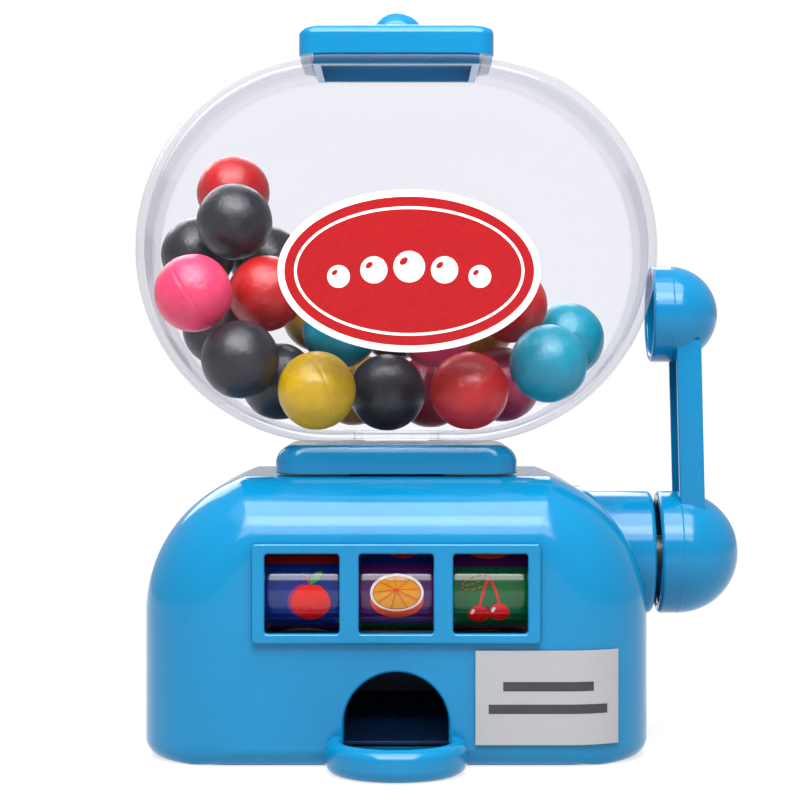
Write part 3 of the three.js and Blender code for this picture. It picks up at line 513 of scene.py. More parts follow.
# ---- housing
WALL = 1.8 * MM
SHOULDER = 23.7 * MM
SHOULDER_CROWN = 1.1 * MM
CORNER = 14.5 * MM
TOP_FILLET = 12 * MM
BACK_FILLET = 1.5 * MM
BOTTOM_FILLET = 3 * MM
PAD = 0.6 * MM
PAD_MARGIN = 0.9 * MM
BEZEL_RECESS = 0.8 * MM
FINE_GAP = 0.06 * MM
BEZEL_CORNER = 0.6 * MM
WINDOW_HALF = (5.95 * MM, 6.35 * MM)
WINDOW_CORNER = 0.55 * MM
REEL_PITCH = 15 * MM
ARCH_HALF = 8.4 * MM
ARCH_CROWN = 15.2 * MM
POST_RADIUS = 4 * MM
POST_LENGTH = 8 * MM
SCREW_RADIUS = 1.2 * MM
SCREW_HEAD = 2.6 * MM
SCREW_RECESS = 1.5 * MM
BORE = SCREW_RADIUS + GAP
THROAT_RADIUS = 7.4 * MM
THROAT_OUTSIDE = 8.2 * MM
ARCH_LIP = 0.45 * MM
WINDOW_LIP = 0.1 * MM
BEZEL_LIP = 0.4 * MM
COVER_EDGE = 0.35 * MM
OUTSIDE = 5 * MM


def housing_section(place, wall=0.0, steps=28):
    """The housing's cross-section at a place along Y, set in by a wall; the cavity runs out below."""
    outside = wall <= 0
    depth = place - front_y - wall
    back = fillet_inset(BACK_FILLET, back_y - place) if outside else 0.0
    side = wall + back + fillet_inset(CORNER - wall, depth)
    top = wall + back + fillet_inset(TOP_FILLET - wall, depth)
    floor = back + fillet_inset(BOTTOM_FILLET, depth) if outside else -2 * OUTSIDE
    half = housing_high.x - side
    centre_x = housing_high.x - SHOULDER
    centre_z = housing_high.z + SHOULDER_CROWN - SHOULDER
    radius_z = SHOULDER - top
    cut = math.asin(min((housing_high.z - top - centre_z) / radius_z, 1.0))
    foot = BOTTOM_FILLET
    right = arc(half - foot, floor + foot, foot, foot, -QUARTER, 0, 8)
    right += arc(centre_x, centre_z, half - centre_x, radius_z, 0, cut, steps)
    return right + [(-x, z) for x, z in right[::-1]]


def housing_form(name, wall=0.0):
    outside = wall <= 0
    high = back_y if outside else back_y + OUTSIDE
    stations = rounded_ends(front_y + wall, high, CORNER - wall, BACK_FILLET if outside else 0, 22)
    return loft(name, "y", stations, lambda place, inset: housing_section(place, wall))


def pierce(name, outline, face, through, lip):
    """A cutter along Y from in front of a face, which leaves the cut's edge rounded by the lip."""
    stations = [(face - OUTSIDE, lip)] + rounded_ends(face, through, lip, 0, 6)
    return loft(name, "y", stations, lambda place, grown: outline(grown))


def window_outline(middle, clear=0.0):
    def outline(grown):
        half_u, half_v = (half + clear + grown for half in WINDOW_HALF)
        ring = rounded_rectangle(half_u, half_v, WINDOW_CORNER + grown, 8, reel_axis.z)
        return [(middle + u, v) for u, v in ring]
    return outline


def arch_outline(grown):
    half = ARCH_HALF + grown
    ring = arc(0, ARCH_CROWN - ARCH_HALF, half, half, 0, math.pi, 64)
    return ring + [(-half, -OUTSIDE), (half, -OUTSIDE)]


def bezel_outline(grown):
    half_v = (bezel_high.z - bezel_low.z) / 2 + grown
    middle = (bezel_high.z + bezel_low.z) / 2
    return rounded_rectangle(bezel_high.x + grown, half_v, BEZEL_CORNER + max(grown, 0), 8, middle)


def centres(stem, count):
    """The middles of the nodes stem_1, stem_2 and so on."""
    boxes = [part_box(f"{stem}_{number}") for number in range(1, count + 1)]
    return [(low + high) / 2 for low, high in boxes]


back_screw_places = [(middle.x, middle.z) for middle in centres("back_screw", 4)]
base_screw_places = [(middle.x, middle.y) for middle in centres("base_screw", 2)]
plate_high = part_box("base_plate")[1]


def make_housing():
    shell = housing_form("base_shell")
    boss_radius = (boss_high.z - boss_low.z) / 2
    pad = rod("pad", "x", boss_radius + PAD_MARGIN, boss_low.x, housing_high.x + OUTSIDE, lever_axis, 96)
    carve(pad, [housing_form("pad_form", -PAD)], "INTERSECT")
    carve(shell, [pad], "UNION")
    carve(shell, [housing_form("cavity", WALL)])
    posts = []
    for x, z in back_screw_places:
        end = cover_low.y - GAP
        posts.append(rod("post", "y", POST_RADIUS, end - POST_LENGTH, end, (x, 0, z)))
    for x, y in base_screw_places:
        start = plate_high.z + GAP
        posts.append(rod("post", "z", POST_RADIUS, start, start + POST_LENGTH, (x, y, 0)))
    for post in posts:
        carve(post, [housing_form("post_form", WALL / 2)], "INTERSECT")
    carve(shell, posts, "UNION")
    inside = front_y + OUTSIDE

    def recess_outline(grown):
        return bezel_outline(FINE_GAP + grown)

    cutters = [
        pierce("recess", recess_outline, front_y, front_y + BEZEL_RECESS, FINE_GAP),
        pierce("arch", arch_outline, front_y, inside, ARCH_LIP),
        rod("boss_hole", "x", boss_radius + GAP, boss_low.x - MM, 2 * boss_high.x, lever_axis, 128),
        rod("throat_hole", "z", THROAT_OUTSIDE + GAP, housing_high.z - 2 * WALL,
            housing_high.z + OUTSIDE, (0, lever_axis.y, 0), 96),
    ]
    for i in (-1, 0, 1):
        cutters.append(pierce("window", window_outline(i * REEL_PITCH, GAP), front_y, inside, WINDOW_LIP))
    for x, z in back_screw_places:
        cutters.append(rod("pilot", "y", BORE, 2 * OUTSIDE, back_y, (x, 0, z), 32))
    for x, y in base_screw_places:
        high = plate_high.z + POST_LENGTH + MM
        cutters.append(rod("pilot", "z", BORE, 0, high, (x, y, 0), 32))
    carve(shell, cutters)
    shell.name = "housing_shell"
    return dressed(shell, 30)


finish_piece(make_housing(), BLUE, "root", "blue_plastic", "base_housing")


def make_bezel():
    back = bezel_high.y
    stations = rounded_ends(bezel_low.y, back, BEZEL_LIP, 0, 6)
    frame_piece = loft("bezel_frame", "y", stations, lambda place, inset: bezel_outline(-inset))
    cutters = []
    for i in (-1, 0, 1):
        outline = window_outline(i * REEL_PITCH)
        cutters.append(pierce("window", outline, bezel_low.y, back + OUTSIDE, BEZEL_LIP))
    carve(frame_piece, cutters)
    return dressed(frame_piece, 30)


finish_piece(make_bezel(), BLUE, "root", "blue_plastic", "reel_bezel")


def make_back_cover():
    def outline(place, inset):
        narrower = 1 - inset / cover_high.x
        ring = []
        for x, z in housing_section(0, WALL + GAP):
            drop = inset if z > OUTSIDE else 0
            ring.append((x * narrower, max(z, GAP + inset) - drop))
        return ring

    face = back_y - WALL
    cover = loft("rear_cover", "y", rounded_ends(face, back_y, 0, COVER_EDGE, 5), outline)
    for x, z in back_screw_places:
        pad = rod("pad", "y", POST_RADIUS + MM, cover_low.y, face + WALL / 2, (x, 0, z), 48)
        limits = [(cover_low.y - MM, FINE_GAP), (back_y, FINE_GAP)]
        carve(pad, [loft("limit", "y", limits, outline)], "INTERSECT")
        carve(cover, [pad], "UNION")
    seat, out = back_y - SCREW_RECESS, back_y + MM
    head = SCREW_HEAD + GAP
    stepped = [(0, cover_low.y - MM), (BORE, cover_low.y - MM), (BORE, seat), (head, seat)]
    stepped += [(head, back_y - GAP), (head + 1.2 * GAP, out), (0, out)]
    for x, z in back_screw_places:
        carve(cover, [turned("hole", "y", stepped, (x, 0, z), 64)])
    return dressed(cover, 30)


finish_piece(make_back_cover(), BLUE, "root", "blue_plastic", "back_cover")


# ---- base plate, tray and saddle
TONGUE_END = 9 * MM
TRAY_RIM = 3.6 * MM
TRAY_FLOOR = 1.6 * MM
TRAY_ROUND = 1.9 * MM
SADDLE_CORNER = 4 * MM
SADDLE_FILLET = 3 * MM
FLANGE_RADIUS = 10.5 * MM
FLANGE = 0.8 * MM
PLATE_EDGE = 0.3 * MM
SADDLE_FOOT = 0.2 * MM
SADDLE_DEPTH_SHARE = 0.3  # of the fillet, so that its front and back stay steep


def make_base_plate():
    low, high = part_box("base_plate")
    radius = CORNER - WALL - GAP

    def outline(place, inset):
        half, front, back = high.x - inset, low.y + inset, high.y - inset
        left = arc(-half + radius, front + radius, radius, radius, 2 * QUARTER, 3 * QUARTER, 24)
        right = arc(half - radius, front + radius, radius, radius, -QUARTER, 0, 24)
        return left + right + [(half, back), (-half, back)]

    plate = loft("underside", "z", rounded_ends(low.z, high.z, PLATE_EDGE, 0, 4), outline)
    tongue = (-ARCH_HALF, front_y, -MM), (ARCH_HALF, front_y + TONGUE_END + GAP, 2 * high.z)
    cutters = [block("notch", *tongue)]
    for x, y in base_screw_places:
        cutters.append(rod("hole", "z", BORE, -MM, 2 * high.z, (x, y, 0), 32))
        cutters.append(rod("seat", "z", SCREW_HEAD + GAP, -MM, SCREW_RECESS, (x, y, 0), 64))
    for cutter in cutters:
        carve(plate, [cutter])
    shade(plate, 30)
    return plate


finish_piece(make_base_plate(), BLUE, "root", "blue_plastic", "base_plate")


def tray_outline(place, inset):
    half = tray_high.x - inset
    back = front_y - GAP
    middle = tray_low.y + tray_high.x
    return [(half, back), (-half, back)] + arc(0, middle, half, half, math.pi, 2 * math.pi, 72)


def make_tray():
    top = tray_high.z
    tray = loft("tray_dish", "z", rounded_ends(0, top, TRAY_ROUND, TRAY_ROUND, 12), tray_outline)
    bottom = rounded_ends(TRAY_FLOOR, top + MM, MM, 0, 8)
    lip = rounded_ends(top - TRAY_ROUND, top, 0, TRAY_ROUND, 12)
    cutters = [
        loft("dish", "z", bottom, lambda place, inset: tray_outline(place, TRAY_RIM + inset)),
        loft("flare", "z", lip, lambda place, inset: tray_outline(place, TRAY_RIM - inset)),
        block("mouth", (-ARCH_HALF, front_y - 2 * TRAY_RIM, TRAY_FLOOR), (ARCH_HALF, front_y, 2 * top)),
    ]
    for cutter in cutters:
        carve(tray, [cutter])
    half = ARCH_HALF - GAP
    tongue = block("tongue", (-half, front_y - MM, 0), (half, front_y + TONGUE_END, TRAY_FLOOR))
    carve(tray, [tongue], "UNION")
    return dressed(tray, 40)


finish_piece(make_tray(), BLUE, "root", "blue_plastic", "catch_tray")


def make_saddle():
    def outline(place, inset):
        half_y = saddle_high.y - SADDLE_DEPTH_SHARE * inset
        return rounded_rectangle(saddle_high.x - inset, half_y, SADDLE_CORNER, 16)

    stations = rounded_ends(saddle_low.z, saddle_high.z, SADDLE_FOOT, SADDLE_FILLET, 12)
    saddle = loft("saddle_block", "z", stations, outline)
    place = (0, lever_axis.y, 0)
    seat = saddle_high.z - FLANGE - GAP
    bore = THROAT_OUTSIDE + GAP
    carve(saddle, [rod("bore", "z", bore, saddle_low.z - MM, 2 * saddle_high.z, place, 96)])
    carve(saddle, [rod("seat", "z", FLANGE_RADIUS + GAP, seat, 2 * saddle_high.z, place, 96)])
    return dressed(saddle, 35)


finish_piece(make_saddle(), BLUE, "root", "blue_plastic", "bowl_saddle")


# ---- bowl and lid
BOWL_FILLET = 13 * MM
BOWL_WALL = 1.4 * MM
MOUTH_MARGIN = 2 * MM
LID_WALL = 1.2 * MM
LID_ROOF = 2 * MM
LID_CORNER = 2.6 * MM
LID_FILLET = 1.5 * MM
LID_HEIGHT = 4.85 * MM
PLUG_DROP = 1.5 * MM
BRIM_DEPTH = 3 * MM
KNOB_RADIUS = 4.75 * MM
mouth_half = (lid_high.x - MOUTH_MARGIN, lid_high.y - MOUTH_MARGIN)
straight_half = bowl_high.x - bowl_radius


def bowl_form(name, margin, low, high, low_fillet, high_fillet):
    """The bowl's stadium form, grown by a margin, between two places along Y."""
    def outline(place, inset):
        radius = bowl_radius + margin - inset
        return rounded_rectangle(straight_half + radius, radius, radius, 32, bowl_centre_z)

    return loft(name, "y", rounded_ends(low, high, low_fillet, high_fillet, 20), outline)


def make_bowl_half(name, side):
    ends = sorted([side * GAP / 2, side * (bowl_high.y - bowl_low.y) / 2])
    inner_ends = sorted([-side * MM, side * ((bowl_high.y - bowl_low.y) / 2 - BOWL_WALL)])
    outer = (BOWL_FILLET, 0) if side < 0 else (0, BOWL_FILLET)
    inner = tuple(fillet - BOWL_WALL if fillet else 0 for fillet in outer)
    half = bowl_form(name, 0, *ends, *outer)
    carve(half, [bowl_form("hollow", -BOWL_WALL, *inner_ends, *inner)])
    u, v = mouth_half
    middle = bowl_centre_z + bowl_radius / 2
    carve(half, [block("mouth", (-u, -v, middle), (u, v, bowl_high.z + MM))])
    place = (0, lever_axis.y, 0)
    carve(half, [rod("hole", "z", THROAT_RADIUS, bowl_low.z - MM, bowl_centre_z, place, 96)])
    return dressed(half, 40)


for name, side in (("bowl_front", -1), ("bowl_rear", 1)):
    finish_piece(make_bowl_half(name + "_shell", side), CLEAR, "root", "clear_plastic", name)


def make_lid():
    top = bowl_high.z + LID_HEIGHT

    def brim_outline(place, inset):
        return rounded_rectangle(lid_high.x - inset, lid_high.y - inset, LID_CORNER, 12)

    stations = rounded_ends(bowl_high.z - BRIM_DEPTH, top, 0, LID_FILLET, 12)
    brim = loft("lid_brim", "z", stations, brim_outline)
    half_y = (bowl_high.y - bowl_low.y) / 2 + GAP
    fillet = BOWL_FILLET + GAP
    carve(brim, [bowl_form("bowl_top", GAP, -half_y, half_y, fillet, fillet)])
    u, v = (half - GAP for half in mouth_half)
    low = bowl_high.z - PLUG_DROP
    carve(brim, [block("plug", (-u, -v, low), (u, v, top - LID_ROOF))], "UNION")
    centre = lid_high.z - KNOB_RADIUS
    dome = arc(0, centre, KNOB_RADIUS, KNOB_RADIUS, -QUARTER, QUARTER, 40)
    carve(brim, [turned("knob", "z", dome, (0, 0, 0), 96)], "UNION")
    u, v = u - LID_WALL, v - LID_WALL
    carve(brim, [block("hollow", (-u, -v, low - MM), (u, v, top - LID_ROOF))])
    return dressed(brim, 35)


finish_piece(make_lid(), BLUE, "lid", "blue_plastic", "refill_lid")


# ---- lever
CUP_WALL = 1.6 * MM
HUB_RADIUS = 10.49 * MM
HUB_RIM_X = 44.7 * MM
HUB_CENTRE_X = 48.25 * MM
KNOB_CUP_RADIUS = 8.2 * MM
KNOB_RIM_X = 43.5 * MM
KNOB_CENTRE_X = 46.9 * MM
ARM_REACH = 40.9 * MM
ARM_WIDTH = 4.25 * MM
ARM_TOP_X = 51.7 * MM
ARM_LEAN = 0.75 * MM
ARM_HALF_DEPTH = 6 * MM
ARM_WALL = 1.1 * MM
ARM_EDGE = 0.35 * MM
GRIP_RADIUS = 5 * MM
SHAFT_BORE = 3.15 * MM
SEAM = 0.05 * MM
CUP_LIP_SHARE = 0.42
KNOB_WALL = 0.75 * CUP_WALL
ARM_INTO_KNOB = 4.4 * MM
GRIP_SETBACK = 1.8 * MM
BOSS_FLOOR = 2 * MM


def cup(name, radius, rim_x, centre_x, wall, place):
    """A round cup open towards the machine, with a rounded rim and a fine parting line."""
    rim = wall * CUP_LIP_SHARE
    outer = arc(centre_x, 0, radius, radius, 0, QUARTER, 40)
    inner = arc(centre_x, 0, radius - wall, radius - wall, 0, QUARTER, 28)
    side = [(centre_x + 2 * SEAM, radius), (centre_x, radius + SEAM), (centre_x - 2 * SEAM, radius)]
    outer = [p for p in outer if p[0] > centre_x + 3 * SEAM] + side
    lip = arc(rim_x + rim, radius - rim, rim, rim, QUARTER, 2 * QUARTER, 8)
    lip += arc(rim_x + rim, radius - wall + rim, rim, rim, 2 * QUARTER, 3 * QUARTER, 8)
    ring = outer + lip + inner[::-1]
    return turned(name, "x", [(r, x) for x, r in ring], place, 128)


def channel(name, inset):
    """The arm's form from hub to knob, set in by the inset and leaning out towards its foot."""
    foot = lever_axis.z + math.sqrt(HUB_RADIUS ** 2 - ARM_HALF_DEPTH ** 2) - CUP_WALL
    head = lever_axis.z + ARM_REACH - ARM_INTO_KNOB
    lean = ARM_LEAN / (head - foot)
    edge = ARM_EDGE if inset == 0 else ARM_EDGE / 3

    def outline(place, _):
        x = ARM_TOP_X + (head - place) * lean
        near = x - ARM_WIDTH - 2 * inset
        half_u, half_v = (x - inset - near) / 2, ARM_HALF_DEPTH - inset
        ring = rounded_rectangle(half_u, half_v, edge, 6)
        return [(near + half_u + u, lever_axis.y + v) for u, v in ring]

    steps = 12
    start, end = (foot, head) if inset == 0 else (foot - MM, head + MM)
    stations = [(start + (end - start) * i / steps, 0) for i in range(steps + 1)]
    return loft(name, "z", stations, outline)


def make_handle():
    knob_place = Vector((0, lever_axis.y, lever_axis.z + ARM_REACH))
    handle = cup("handle_hub", HUB_RADIUS, HUB_RIM_X, HUB_CENTRE_X, CUP_WALL, lever_axis)
    knob = cup("knob", KNOB_CUP_RADIUS, KNOB_RIM_X, KNOB_CENTRE_X, KNOB_WALL, knob_place)
    end = HUB_CENTRE_X + HUB_RADIUS - CUP_WALL
    grip = rod("grip", "x", GRIP_RADIUS, HUB_RIM_X + GRIP_SETBACK, end, lever_axis, 64)
    bore = rod("bore", "x", SHAFT_BORE, HUB_RIM_X, end - GRIP_SETBACK, lever_axis, 64)
    arm = channel("arm", 0)
    carve(arm, [channel("groove", ARM_WALL)])
    reach = KNOB_CUP_RADIUS - MM
    ball = [(0, KNOB_RIM_X), (reach, KNOB_RIM_X)]
    ball += [(r, x) for x, r in arc(KNOB_CENTRE_X, 0, reach, reach, 0, QUARTER, 20)[::-1]]
    carve(arm, [turned("in_knob", "x", ball, knob_place, 96)])
    carve(handle, [grip], "UNION")
    carve(handle, [bore])
    carve(handle, [knob], "UNION")
    carve(handle, [arm], "UNION")
    return dressed(handle, 30)


finish_piece(make_handle(), BLUE, "lever", "blue_plastic", "lever_handle")


def make_boss():
    radius = (boss_high.z - boss_low.z) / 2
    edge = 0.9 * MM
    collar = SHAFT_BORE + WALL
    inner, outer = boss_low.x, boss_high.x
    profile = [
        (SHAFT_BORE, outer),
        (SHAFT_BORE, inner + BOSS_FLOOR),
        (collar, inner + BOSS_FLOOR),
        (collar, outer - WALL),
        (radius - WALL, outer - WALL),
        (radius - WALL, inner),
        (radius, inner),
    ]
    profile += [(r, x) for x, r in arc(outer - edge, radius - edge, edge, edge, QUARTER, 0, 10)]
    profile.append((SHAFT_BORE, outer))
    return turned("boss_sleeve", "x", profile, lever_axis, 128)


finish_piece(make_boss(), BLUE, "root", "blue_plastic", "lever_boss")


# ---- gumballs
GUM_ORDER = (
    "red black black black pink red black black black yellow ochre teal "
    "ochre black black pink crimson red ochre red crimson teal teal black"
).split()
SEAM_DEPTH = 0.1 * MM
SEAM_WIDTH = 0.22 * MM
SHELL_INSET = 0.05 * MM
LUMPS = ((1.6, 0.09 * MM), (6, 0.025 * MM))  # how often round the ball, and how high


def make_gumball(index, node, seamed):
    """A slightly lumpy candy sphere; some keep the line where the two halves of the mould met."""
    low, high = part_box(node)
    centre = (low + high) / 2
    radius = (high.z - low.z) / 2
    work = bmesh.new()
    bmesh.ops.create_icosphere(work, subdivisions=6 if seamed else 5, radius=1)
    seam = Vector((math.sin(index * 2.3), 0.35 * math.cos(index), math.cos(index * 1.7))).normalized()
    for vert in work.verts:
        way = vert.co.normalized()
        drift = Vector((index * 5.1, index * 2.7, index * 3.9))
        lumps = sum(noise.noise(way * often + drift) * height for often, height in LUMPS)
        dent = 0.0
        if seamed:
            off = way.dot(seam) * radius / SEAM_WIDTH
            dent = SEAM_DEPTH * math.exp(-off * off)
        vert.co = centre + way * (radius - SHELL_INSET + lumps - dent)
    mesh = bpy.data.meshes.new(f"candy_{index:02d}")
    work.to_mesh(mesh)
    work.free()
    candy = placed(mesh.name, mesh)
    shade(candy, 60)
    return candy


for index, tone in enumerate(GUM_ORDER, start=1):
    node = f"gumball_{index:02d}"
    candy = make_gumball(index, node, seamed=tone in ("pink", "yellow"))
    finish_piece(candy, GUM[tone], "root", "gum_" + tone, node)


# ---- reels and their printed fruit
REEL_SEGMENTS = 144
REEL_RIM = 1 * MM
REEL_HUB = 3.2 * MM
REEL_WEB = 0.8 * MM
REEL_BORE = 1.8 * MM
INK = 0.02 * MM
BAND_ORDER = ("red", "blue", "purple", "green")
reel_radius = (reel_high.z - reel_low.z) / 2
reel_half = (reel_high.x - reel_low.x) / 2


def ellipse(u, v, half_u, half_v, tilt=0.0, steps=56):
    turn = math.radians(tilt)
    ring = []
    for x, y in arc(0, 0, half_u, half_v, 0, 2 * math.pi, steps)[:-1]:
        across = x * math.cos(turn) - y * math.sin(turn)
        up = x * math.sin(turn) + y * math.cos(turn)
        ring.append((u + across, v + up))
    return ring


def filled(outline, rings=8):
    """Points and faces of a patch that fills a star-shaped outline, in millimetres."""
    count = len(outline)
    middle = (sum(u for u, _ in outline) / count, sum(v for _, v in outline) / count)
    points, faces = [middle], []
    for k in range(1, rings + 1):
        share = k / rings
        for u, v in outline:
            points.append((middle[0] + (u - middle[0]) * share, middle[1] + (v - middle[1]) * share))
    for i in range(count):
        j = (i + 1) % count
        faces.append((0, 1 + i, 1 + j))
        for k in range(rings - 1):
            a, b = 1 + k * count + i, 1 + k * count + j
            faces.append((a, a + count, b + count, b))
    return points, faces


def stroke(path, width):
    """Points and faces of a pen line along a path of (u, v), in millimetres."""
    points, faces = [], []
    for i, (u, v) in enumerate(path):
        before, after = path[max(i - 1, 0)], path[min(i + 1, len(path) - 1)]
        along = Vector((after[0] - before[0], after[1] - before[1])).normalized()
        off = Vector((-along.y, along.x)) * width / 2
        points += [(u + off.x, v + off.y), (u - off.x, v - off.y)]
    for i in range(len(path) - 1):
        faces.append((2 * i, 2 * i + 1, 2 * i + 3, 2 * i + 2))
    return points, faces


def curve_through(start, pull, end, steps=14):
    """A quadratic curve from start to end, drawn towards pull."""
    path = []
    for i in range(steps + 1):
        t = i / steps
        weights = ((1 - t) ** 2, 2 * t * (1 - t), t * t)
        path.append(tuple(sum(w * p[k] for w, p in zip(weights, (start, pull, end))) for k in (0, 1)))
    return path


def apple_outline(shift_u, shift_v):
    ring = []
    for x, y in arc(0, 0, 1, 1, 0, 2 * math.pi, 72)[:-1]:
        turn = math.atan2(y, x)
        dimple = 0.13 * math.exp(-((turn - QUARTER) / 0.3) ** 2)
        size = 3.12 * (1 + 0.02 * math.cos(4 * turn) - dimple)
        ring.append((1.3 + shift_u + size * x, -1.1 + shift_v + size * y))
    return ring


def lemon_outline():
    ring = []
    for x, y in arc(0, 0, 1, 1, 0, 2 * math.pi, 96)[:-1]:
        turn = math.atan2(y, x)
        tip = 0.7 * (math.exp(-(turn / 0.2) ** 2) + math.exp(-((math.pi - abs(turn)) / 0.2) ** 2))
        size = 1 / math.hypot(x / 3.3, y / 2.5) + tip
        ring.append((size * x, size * y))
    return ring


def apple():
    stem = curve_through((1.2, 1.5), (0.9, 2.6), (0.3, 3.3))
    blade = curve_through((1.2, 1.6), (1.9, 3.4), (3.2, 3.9))
    return [
        (filled(apple_outline(-0.6, 0.1)), "apple_shadow"),
        (filled(apple_outline(0, 0)), "apple"),
        (stroke(stem, 0.22), "outline"),
        (stroke(blade, 0.22), "outline"),
        (filled(ellipse(2.2, 3.0, 1.35, 0.62, 48)), "leaf"),
    ]


def orange():
    prints = [
        (filled(ellipse(0.1, -0.75, 4.25, 3.05)), "peel"),
        (filled(ellipse(0.1, 0.5, 4.3, 3.1)), "rind"),
        (filled(ellipse(0.1, 0.45, 3.87, 2.7)), "outline"),
        (filled(ellipse(0.1, 0.45, 3.74, 2.58)), "flesh"),
    ]
    for i in range(9):
        turn = 2 * math.pi * (i + 0.4) / 9
        edge = (0.1 + 3.6 * math.cos(turn), 0.45 + 2.45 * math.sin(turn))
        prints.append((stroke(curve_through((0, 1.0), (0, 1.0), edge, 8), 0.13), "peel"))
    prints.append((filled(ellipse(0, 1.0, 0.28, 0.22)), "peel"))
    return prints


def cherries():
    prints = []
    top = (-0.2, 3.6)
    for side, fruit in ((-1, (-1.8, -2.6)), (1, (1.5, -2.2))):
        pull = (side * 1.1, 1.6)
        prints.append((stroke(curve_through(top, pull, (fruit[0] + 0.1, fruit[1] + 1.2)), 0.46), "outline"))
    for u, v in ((-1.8, -2.6), (1.5, -2.2)):
        prints.append((filled(ellipse(u, v, 1.68, 1.62)), "apple"))
        prints.append((filled(ellipse(u - 0.95, v + 0.5, 0.27, 0.5, -25)), "rind"))
    outline = ellipse(-2.2, 2.8, 2.3, 1.0, 18, 60)
    for i in range(0, 60, 5):
        prints.append((stroke(outline[i:i + 4], 0.17), "outline"))
    vein = curve_through((-3.9, 2.2), (-2.2, 2.6), (-0.6, 3.4), 20)
    for i in range(0, 20, 5):
        prints.append((stroke(vein[i:i + 4], 0.14), "outline"))
    return prints


def lemon():
    gloss = curve_through((-1.7, 0.9), (-0.4, 1.7), (1.2, 1.3))
    return [
        (filled(lemon_outline()), "lemon"),
        (stroke(gloss, 0.3), "rind"),
        (filled(ellipse(2.9, 2.4, 1.3, 0.55, 35)), "leaf"),
    ]


FRUIT = {"red": lemon, "blue": apple, "purple": orange, "green": cherries}


def wrapped(reel_x, band_turn, layer, shape, material):
    """A print bent round the drum; its underside is sunk in the layer below."""
    points, faces = shape
    radius = reel_radius + layer * INK
    bent = []
    for u, v in points:
        turn = band_turn - v * MM / reel_radius
        around = Vector((0, math.cos(turn), math.sin(turn))) * radius
        bent.append(reel_axis + around + Vector((reel_x + u * MM, 0, 0)))
    ink = mesh_piece("print", bent, faces)
    step = ink.modifiers.new("ink", "SOLIDIFY")
    step.thickness = 1.5 * INK
    step.offset = 0
    apply_modifiers(ink)
    ink.data.materials.append(material)
    return ink


def make_reel(name, reel_x, front_band, tilt):
    """A drum with four colour bands; the band that faces the window is set down by the tilt."""
    edge = 0.25 * MM
    inner = reel_radius - REEL_RIM

    def side(sign):
        corner = arc(reel_half - edge, reel_radius - edge, edge, edge, 0, QUARTER, 6)
        rim = [(r, sign * x) for x, r in corner]
        return [
            (REEL_BORE, sign * reel_half),
            (REEL_HUB, sign * reel_half),
            (REEL_HUB, sign * REEL_WEB),
            (inner, sign * REEL_WEB),
            (inner, sign * reel_half),
        ] + rim

    profile = side(-1) + side(1)[::-1] + [(REEL_BORE, -reel_half)]
    drum = turned(name, "x", profile, reel_axis + Vector((reel_x, 0, 0)), REEL_SEGMENTS)
    drum.data.materials.append(INNER)
    for band in BAND_ORDER:
        drum.data.materials.append(REEL_INK[band])
    first = BAND_ORDER.index(front_band)
    front_turn = math.pi + math.radians(tilt)
    for face in drum.data.polygons:
        spot = face.center - reel_axis
        if math.hypot(spot.y, spot.z) > reel_radius - edge:
            turn = math.atan2(spot.z, spot.y) - front_turn
            band = (first + round(turn / QUARTER)) % 4
            face.material_index = 1 + band
    pieces = [drum]
    for k in range(4):
        band = BAND_ORDER[(first + k) % 4]
        for layer, (shape, ink) in enumerate(FRUIT[band](), start=1):
            turn = front_turn + k * QUARTER
            pieces.append(wrapped(reel_x, turn, layer, shape, PRINT[ink]))
    reel = join(name, pieces)
    shade(reel, 35)
    return reel


for name, i, band, tilt in (("left", -1, "blue", 5), ("middle", 0, "purple", 5), ("right", 1, "green", 10)):
    reel = make_reel(f"fruit_drum_{name}", i * REEL_PITCH, band, tilt)
    finish_piece(reel, None, "reels", "reel_print", f"reel_{name}")


# ---- badge and label
BADGE_RIM = 1.1 * MM
DOT_RADIUS = 2.5
DOT_TAPER = 0.35
DOT_PITCH = 5.6
LABEL_WRAP = 0.61
BAR_HEIGHT = 1.5 * MM
BAR_PITCH = 3.6 * MM
BAR_REACHES = (0.31, 0.41)


def flat_print(name, outline, back, front, material):
    """A flat layer of ink along Y, from an outline in millimetres."""
    points = [(x * MM, z * MM) for x, z in outline]
    patch = loft(name, "y", [(front, 0), (back, 0)], lambda place, inset: points)
    patch.data.materials.append(material)
    return patch


